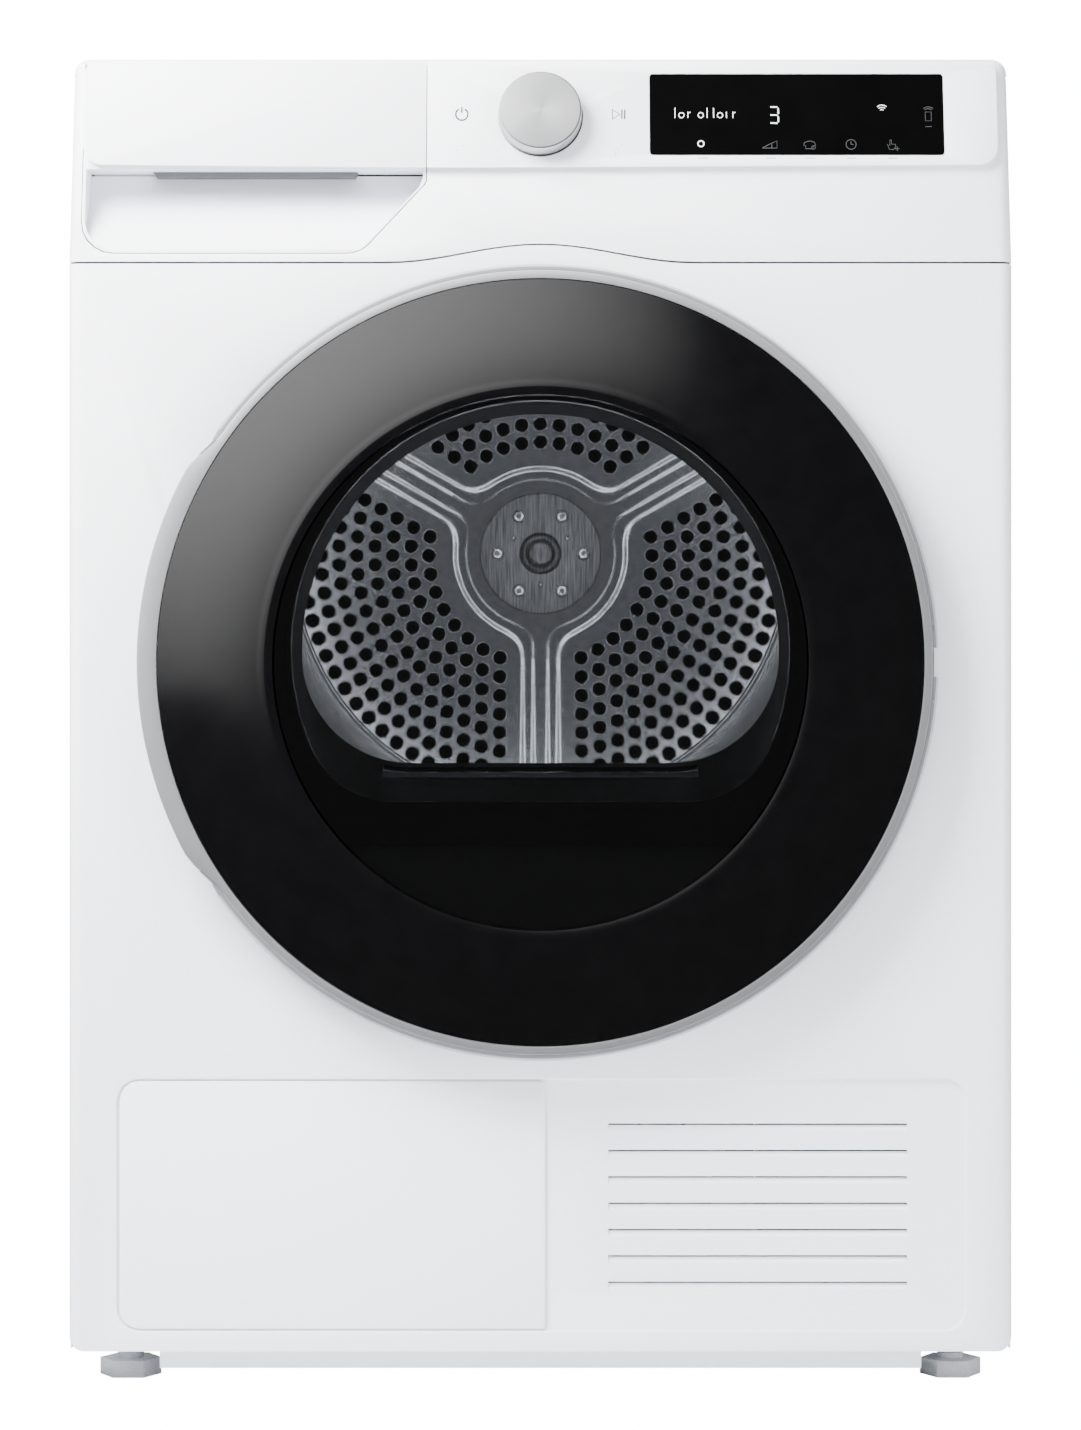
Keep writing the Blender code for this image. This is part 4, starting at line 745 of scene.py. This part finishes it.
def holeTile(shape, middle, radial, low, high, endLeft, endRight):
    # one air hole: a flat tile in polar bounds with a raised, rounded rim round the hole
    count = 16
    hole, rim = plate["holeRadius"] * mm, plate["rimRadius"] * mm
    height = plate["rimHeight"] * mm
    stages = [(hole, 1.2 * mm), (hole, -0.1 * mm), (hole + 0.25 * mm, -height), (hole + 0.55 * mm, -height),
              (rim - 0.25 * mm, -height * 0.3), (rim, 0), (rim + 0.15 * mm, 0)]
    cx, cz = radial * cos(middle), radial * sin(middle)
    rows = []
    for reach, depth in stages:
        row = []
        for k in range(count):
            a = middle + pi / 4 + 2 * pi * k / count
            x, z = cx + reach * cos(a), cz + reach * sin(a)
            row.append(shape.verts.new((x, plateFace + depth - 0.1 * mm, drumZ + z)))
        rows.append(row)
    # the tile's edge, as points at the same turns round the hole
    row = []
    for k in range(count):
        side, step = divmod(k, count // 4)
        t = step / (count // 4)
        corners = [(high, endRight), (low, endRight), (low, endLeft), (high, endLeft)]
        (r0, turn0), (r1, turn1) = corners[side], corners[(side + 1) % 4]
        r, turn = r0 + (r1 - r0) * t, turn0 + (turn1 - turn0) * t
        row.append(shape.verts.new((r * cos(turn), plateFace - 0.1 * mm, drumZ + r * sin(turn))))
    rows.append(row)
    joinRows(shape, rows, True)


def makeFields(shape):
    band = plate["spokeBand"]
    for field in range(3):
        start = radians(plate["spokes"][1] + 120 * field)
        for k in range(plate["rows"]):
            radial = plate["firstRow"] + k * plate["rowPitch"]
            count = plate["firstCount"] + 2 * k
            off = plate["endOffset"] / radial
            low = plate["fieldInner"] if k == 0 else radial - plate["rowPitch"] / 2
            high = plate["fieldOuter"] if k == plate["rows"] - 1 else radial + plate["rowPitch"] / 2
            pitch = (2 * pi / 3 - 2 * off) / (count - 1)
            for i in range(count):
                middle = start + off + i * pitch
                left = start + band / radial if i == 0 else middle - pitch / 2
                right = start + 2 * pi / 3 - band / radial if i == count - 1 else middle + pitch / 2
                holeTile(shape, middle, radial, low, high, left, right)


def makeOuterBand(shape):
    low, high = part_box("drum_back")
    rim = (high[0] - low[0]) / 2
    first = plate["fieldOuter"] - 0.5 * mm
    profile = [(first, plateFace - 0.1 * mm), (first + 1.5 * mm, plateFace - 1.6 * mm)]
    profile += [(first + 4 * mm, plateFace - 2.0 * mm)]
    profile += [(0.200, plateFace - 1.2 * mm), (0.214, plateFace - 5.5 * mm), (0.240, plateFace - 13 * mm)]
    profile += [(rim - 1.2 * mm, plateFace - 20 * mm), (rim, plateFace - 22 * mm), (rim, plateFace - 27 * mm)]
    spinProfile(profile, (0, drumZ), 160, shape, closed=False)


drumZ = joints["drum_spin"]["pos_m"][2]
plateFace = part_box("drum_back")[1][1] - 1.5 * mm


def makeDrumBack():
    shape = bmesh.new()
    makeHubZone(shape)
    for spoke in plate["spokes"]:
        makeSpoke(shape, spoke)
    makeFields(shape)
    makeOuterBand(shape)
    makePiece("drumBackPlate", shape, "drum", "drum", ("drum_back",), 60)


hubParts = {"radius": 46.0, "proud": 2.6, "boss": 15.6, "bossHigh": 3.2, "dome": 10.4, "screwReach": 32.5,
            "screwRadius": 5.4, "rivetReach": 23.4, "rivetRadius": 2.0}


def makeHub():
    face = plateFace - hubParts["proud"] * mm
    r, boss, dome = hubParts["radius"] * mm, hubParts["boss"] * mm, hubParts["dome"] * mm
    top = face - hubParts["bossHigh"] * mm
    profile = [(0, top - 3.0 * mm), (dome * 0.4, top - 2.8 * mm), (dome * 0.7, top - 2.0 * mm),
               (dome * 0.9, top - 0.9 * mm),
               (dome, top + 0.8 * mm), (dome + 1.0 * mm, top + 1.4 * mm), (boss - 2.6 * mm, top + 0.6 * mm),
               (boss - 1.2 * mm, top + 1.2 * mm), (boss - 0.4 * mm, top + 2.2 * mm),
               (boss, face - 0.4 * mm), (boss + 0.8 * mm, face), (r - 0.8 * mm, face), (r, face + 0.7 * mm),
               (r, plateFace + 1 * mm), (0, plateFace + 1 * mm)]
    shape = spinProfile(profile, (0, drumZ), 120, closed=False)
    makePiece("drumHubPlate", shape, "hub", "drum", ("drum_hub",), 40)
    screws = bmesh.new()
    for i in range(6):
        a = i * pi / 3
        spot = (hubParts["screwReach"] * mm * cos(a), drumZ + hubParts["screwReach"] * mm * sin(a))
        w = hubParts["screwRadius"] * mm
        head = [(0, face + 0.2 * mm), (w * 0.30, face + 0.2 * mm), (w * 0.34, face - 0.9 * mm),
                (w * 0.62, face - 1.3 * mm), (w * 0.72, face - 0.5 * mm), (w * 0.8, face - 0.3 * mm),
                (w * 0.92, face - 0.7 * mm), (w, face + 0.3 * mm)]
        spinProfile(head, spot, 28, screws, closed=False)
    for turn in (30, 150, 270):
        a, w = radians(turn), hubParts["rivetRadius"] * mm
        spot = (hubParts["rivetReach"] * mm * cos(a), drumZ + hubParts["rivetReach"] * mm * sin(a))
        head = [(w * sin(t * pi / 10), face - w * 0.7 * cos(t * pi / 10)) for t in range(6)]
        head.append((w * 1.3, face + 0.1 * mm))
        spinProfile(head, spot, 20, screws, closed=False)
    makePiece("hubScrews", screws, "bright", "drum")


def makeDrumShell():
    low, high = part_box("drum_shell")
    r, front, back = (high[0] - low[0]) / 2, low[1], high[1]
    wall, mouth = 1.2 * mm, 0.2130
    outer = [(r, back), (r, front + 12 * mm), (r - 1.5 * mm, front + 5 * mm), (r - 6 * mm, front + 1.6 * mm),
             (r - 14 * mm, front + 0.4 * mm), (mouth, front)]
    inner = [(mouth, front + wall), (r - 14 * mm, front + 1.8 * mm), (r - 6.5 * mm, front + 3 * mm),
             (r - 2.7 * mm, front + 6 * mm), (r - wall, front + 12.5 * mm), (r - wall, back)]
    shape = spinProfile(outer + inner, (0, drumZ), 160)
    makePiece("drumShell", shape, "drum", "drum", ("drum_shell",))


ductShadeDisc = {"behind": 9, "radius": 0.196, "wall": 0.8}


def makeDuctShade():
    # near-black disc behind the air holes: painted shade standing in for the dark inside of the duct
    shape = bmesh.new()
    y = plateFace + ductShadeDisc["behind"] * mm
    bmesh.ops.create_circle(shape, cap_ends=True, segments=96, radius=ductShadeDisc["radius"],
                            matrix=Matrix.Translation((0, y, drumZ)) @ Matrix.Rotation(pi / 2, 4, "X"))
    bmesh.ops.solidify(shape, geom=shape.faces, thickness=ductShadeDisc["wall"] * mm)
    makePiece("ductShade", shape, "ductShadeDisc", "root")


makeDrumBack()
makeHub()
makeDrumShell()
makeDuctShade()
print("drum")

# cabinet and control panel

recess = {"outline": (-0.269, 0.270, 0.0375, 0.1973), "radius": 0.014, "front": -0.2755, "back": -0.2720,
          "soft": 1.2}
edges = {"front_panel": 0.5, "control_panel": 0.6, "tank_front": 0.6, "top_cover": 0.8, "exchanger_flap": 0.5,
         "side_panel_left": 0.3, "side_panel_right": 0.3}


def makeCabinet():
    softened("front_panel", "enamel", edges["front_panel"], pressed=recess)
    softened("control_panel", "white", edges["control_panel"])
    softened("tank_front", "white", edges["tank_front"])
    softened("top_cover", "enamel", edges["top_cover"])
    softened("exchanger_flap", "white", edges["exchanger_flap"])
    softened("side_panel_left", "enamel", edges["side_panel_left"])
    softened("side_panel_right", "enamel", edges["side_panel_right"])
    for end in ("front", "rear"):
        for side in ("left", "right"):
            softened(f"foot_{end}_{side}", "foot", 0.8)


def panelPoint(x, z, proud=0.0):
    # a point on the slab's leaning face, this far in front of it
    return Vector((x, knobCentre.y + (z - knobCentre.z) * tan(lean) - proud / cos(lean), z))


# in mm: how far the knob's foot and top stand off the slab, and the radii of its parts
knob = {"foot": 1.2, "top": 12.6, "face": 25.3, "skirtTop": 25.9, "skirt": 26.4, "ring": 27.2}


def turned(profile, name, finish, body, replaced=(), sharp=35, steps=160, closed=True):
    # a piece spun about the knob's axis from (radius, depth) points in mm
    points = [(radius * mm, depth * mm) for radius, depth in profile]
    shape = spinProfile(points, (0, 0), steps, closed=closed)
    place = Matrix.Translation(knobCentre) @ Matrix.Rotation(-lean, 4, "X")
    bmesh.ops.transform(shape, matrix=place, verts=shape.verts)
    makePiece(name, shape, finish, body, replaced, sharp)


def makeKnob():
    foot, top, face, skirt, ring = (knob[key] for key in ("foot", "top", "face", "skirt", "ring"))
    disc = [(0, 0.3 - top), (6, 0.25 - top), (face - 0.7, -top), (face, 0.15 - top), (face, 0.8 - top),
            (0, 0.8 - top)]
    turned(disc, "knobFace", "spun", "knob", sharp=25, closed=False)
    side = [(face, 0.2 - top), (knob["skirtTop"], 0.5 - top), (skirt - 0.2, 1.2 - top), (skirt, -foot - 1.0),
            (skirt - 0.6, -foot), (0, -foot), (0, 1.0 - top), (face, 1.0 - top)]
    turned(side, "knobSkirt", "skirt", "knob", ("selector_knob",), 25)
    rim = [(25.0, 0.4), (ring, 0.4), (ring, -0.6), (ring - 0.6, -1.0), (25.0, -1.0)]
    turned(rim, "knobRing", "bright", "root", steps=120)


makeCabinet()
makeKnob()
print("cabinet and knob")

# printed marks on the panel and lit marks in the display, in mm


def stroke(shape, points, width, proud, closed=False):
    # a thin ribbon along a line of (x, z) points on the slab's face
    spots = [Vector(point) for point in points]
    count, rows = len(spots), []
    for i, spot in enumerate(spots):
        before = spots[i - 1] if closed or i else spot
        after = spots[(i + 1) % count] if closed or i < count - 1 else spot
        way = (after - before).normalized()
        side = Vector((-way.y, way.x)) * width / 2
        ends = (spot + side, spot - side)
        rows.append([shape.verts.new(panelPoint(x * mm, z * mm, proud * mm)) for x, z in ends])
    if closed:
        rows.append(rows[0])
    joinRows(shape, rows)


def ringPoints(centre, radius, first=0, last=360, steps=24):
    turns = [radians(first + (last - first) * i / steps) for i in range(steps + 1)]
    points = [(centre[0] + radius * cos(a), centre[1] + radius * sin(a)) for a in turns]
    return points[:-1] if last - first == 360 else points


def makeMarks(name, finish, proud, drawn):
    shape = bmesh.new()
    for points, width, closed in drawn:
        stroke(shape, points, width, proud, closed)
    bmesh.ops.solidify(shape, geom=shape.faces, thickness=-0.05 * mm)
    makePiece(name, shape, finish, bodyOf["control_panel"], weld=0.000001)


panelMarks = {"power": (-50.3, 812.4), "play": (49.6, 812.4), "dotsLeft": (-51.5, 788.5),
              "dotsRight": (49.6, 789.0),
              "dashes": (103.7, 147.0, 172.4, 198.5, 224.6), "dashHeight": 783.6}
lit = {"bar": (84.0, 125.0, 812.4), "digit": (146.2, 152.0, 806.6, 817.2), "signal": (218.3, 815.0),
       "ring": (102.4, 793.0)}
dim = {"phone": (247.9, 811.5), "wedge": (146.4, 792.3), "shirt": (171.8, 792.3), "clock": (198.2, 792.5),
       "hand": (224.6, 792.3)}


def drawPanelMarks():
    x, z = panelMarks["power"]
    drawn = [(ringPoints((x, z), 3.9, 120, 420), 1.0, False), ([(x, z + 1.0), (x, z + 4.8)], 1.0, False)]
    x, z = panelMarks["play"]
    drawn.append(([(x - 3.6, z - 3.2), (x - 3.6, z + 3.2), (x + 1.2, z)], 0.9, True))
    drawn.append(([(x + 2.4, z - 3.2), (x + 2.5, z + 3.2)], 0.9, False))
    drawn.append(([(x + 4.2, z - 3.2), (x + 4.3, z + 3.2)], 0.9, False))
    makeMarks("panelMarks", "printGrey", 0.10, drawn)
    drawn = []
    for middle, spots in (("dotsLeft", ((-1.6, 3), (-1.6, 0), (-1.6, -3), (1.8, 3))),
                          ("dotsRight", ((1.8, 3), (-0.2, 0.6), (-1.8, -1.6), (-1.8, -3.4)))):
        x, z = panelMarks[middle]
        for dx, dz in spots:
            drawn.append(([(x + dx - 0.3, z + dz), (x + dx + 0.3, z + dz)], 0.6, False))
    for x in panelMarks["dashes"]:
        drawn.append(([(x - 3, panelMarks["dashHeight"]), (x + 3, panelMarks["dashHeight"])], 0.5, False))
    makeMarks("panelDots", "printLight", 0.10, drawn)


def drawDisplay():
    left, right, middle = lit["bar"]
    drawn = []
    # a generic programme name made of rings and uprights
    for i, kind in enumerate("lor olloir"):
        x = left + 2 + (right - left - 4) * i / 9
        if kind == "o":
            drawn.append((ringPoints((x, middle - 0.6), 1.7, steps=16), 0.5, True))
        elif kind in "lir":
            tall = {"l": 6.6, "i": 4.0, "r": 4.0}[kind]
            drawn.append(([(x, middle - 2.4), (x, middle - 2.4 + tall)], 0.5, False))
        if kind == "r":
            drawn.append(([(x, middle + 0.8), (x + 1.6, middle + 1.3)], 0.5, False))
    x0, x1, z0, z1 = lit["digit"]
    half = (z0 + z1) / 2
    for z in (z0, half, z1):
        drawn.append(([(x0 + 0.8, z), (x1 - 0.6, z)], 0.8, False))
    drawn.append(([(x1, z0 + 0.7), (x1, half - 0.7)], 0.8, False))
    drawn.append(([(x1, half + 0.7), (x1, z1 - 0.7)], 0.8, False))
    x, z = lit["signal"]
    for radius in (1.5, 3.0, 4.5):
        drawn.append((ringPoints((x, z - 1), radius, 48, 132, 8), 0.45, False))
    drawn.append((ringPoints(lit["ring"], 1.9), 0.7, True))
    makeMarks("displayLit", "litWhite", 0.32, drawn)

    x, z = dim["phone"]
    drawn = [([(x - 1.9, z - 3.4), (x + 1.9, z - 3.4), (x + 1.9, z + 2.4), (x - 1.9, z + 2.4)], 0.45, True)]
    drawn.append((ringPoints((x, z + 1.2), 3.4, 48, 132, 8), 0.45, False))
    drawn.append((ringPoints((x, z + 1.2), 4.6, 48, 132, 8), 0.45, False))
    drawn.append(([(x - 2, z - 7.2), (x + 2, z - 7.2)], 0.45, False))
    x, z = dim["wedge"]
    wedge = [(-5, -2.2), (4.5, -2.2), (4.5, 2.6), (1.2, 1.0), (1.2, -2.0)]
    drawn.append(([(x + a, z + b) for a, b in wedge], 0.5, False))
    drawn.append(([(x - 5, z - 2.2), (x + 0.6, z + 0.8)], 0.5, False))
    x, z = dim["shirt"]
    shirt = [(-2.6, -2.6), (2.2, -2.6), (2.2, -0.6), (3.8, -0.4), (3.0, 1.6), (0.8, 2.4), (-0.8, 2.4),
             (-3.4, 1.4), (-3.8, -0.6), (-2.6, -0.6)]
    drawn.append(([(x + a, z + b) for a, b in shirt], 0.5, True))
    drawn.append((ringPoints((x + 2.4, z - 1.8), 1.2, steps=12), 0.4, True))
    drawn.append((ringPoints(dim["clock"], 3.2), 0.5, True))
    x, z = dim["clock"]
    drawn.append(([(x, z + 2.0), (x, z), (x + 1.6, z)], 0.5, False))
    x, z = dim["hand"]
    hand = [(-3.2, 0.4), (-1.6, -0.6), (-1.6, 3.2), (-0.6, 3.2), (-0.6, 0.4), (2.0, 0.2), (2.0, -1.4),
            (0.6, -3.2), (-2.0, -3.0)]
    drawn.append(([(x + a, z + b) for a, b in hand], 0.45, True))
    drawn.append(([(x + 1.6, z - 2.6), (x + 4.4, z - 2.6)], 0.5, False))
    drawn.append(([(x + 3.0, z - 4.0), (x + 3.0, z - 1.2)], 0.5, False))
    makeMarks("displayDim", "dimWhite", 0.32, drawn)


drawPanelMarks()
drawDisplay()
print("marks")

# small pieces round the cabinet

small = {"slot": (-0.2490, -0.1175, 0.7738, 0.7768), "slotDepth": (-0.2440, -0.2302),
         "ribs": (-228, -190, -160, -127, -100, -30, 2, 20, 60, 118, 172, 196, 214), "ribWidth": 0.8,
         "ribTall": 9.5, "ribFace": -0.2556, "ribFoot": 0.0132}


def makeFingerSlotShade():
    # dark box under the slab: painted shade inside the opening that the fingers reach into
    x0, x1, z0, z1 = small["slot"]
    y0, y1 = small["slotDepth"]
    shape = bmesh.new()
    size = Matrix.Diagonal((x1 - x0, y1 - y0, z1 - z0, 1))
    middle = Matrix.Translation(((x0 + x1) / 2, (y0 + y1) / 2, (z0 + z1) / 2))
    bmesh.ops.create_cube(shape, size=1, matrix=middle @ size)
    for vert in shape.verts:
        if vert.co.z < (z0 + z1) / 2:
            vert.co.x += 2 * mm if vert.co.x < (x0 + x1) / 2 else -2 * mm
    makePiece("fingerSlotShade", shape, "shade", "tank")


def makePlinthRibs():
    # low upright ribs along the plinth
    shape = bmesh.new()
    for x in small["ribs"]:
        middle = Vector((x * mm, small["ribFace"], small["ribFoot"] + small["ribTall"] / 2 * mm))
        size = Matrix.Diagonal((small["ribWidth"] * mm, 0.6 * mm, small["ribTall"] * mm, 1))
        bmesh.ops.create_cube(shape, size=1, matrix=Matrix.Translation(middle) @ size)
    makePiece("plinthRibs", shape, "white", "root")


makeFingerSlotShade()
makePlinthRibs()
print("small pieces")

# plain finishes on the CAD nodes that stay

carried = {
    "zinc": ("back_panel", "front_bulkhead", "door_hook", "hinge_leaf", "motor_housing", "rear_bulkhead"),
    "silver": ("hinge_bracket",),
    "glossBlack": ("display_window",),
    "dark": ("control_board_box", "latch_catch", "door_inner_frame", "blower_fan", "blower_housing",
             "idler_pulley", "compressor", "drain_pump", "cord_gland"),
    "sill": ("lint_filter",),
    "grey": ("tank_body", "tank_tray", "drum_lifter_a", "drum_lifter_b", "drum_lifter_c",
             "exchanger_housing", "cover_latch_left", "cover_latch_right"),
    "white": ("base_tray", "exchanger_cover"),
    "rubber": ("door_seal", "drive_belt", "roller_left", "roller_right"),
    "felt": ("drum_felt",),
    "bright": ("rear_bearing", "drum_shaft", "motor_rotor"),
    "alu": ("evaporator", "condenser"),
    "copper": ("refrigerant_pipe",),
    "bowl": ("drum_lamp",),
}
for finish, names in carried.items():
    for name in names:
        data = nodes[name].data
        data.materials.clear()
        data.materials.append(finishes[finish])
print("carried CAD nodes")
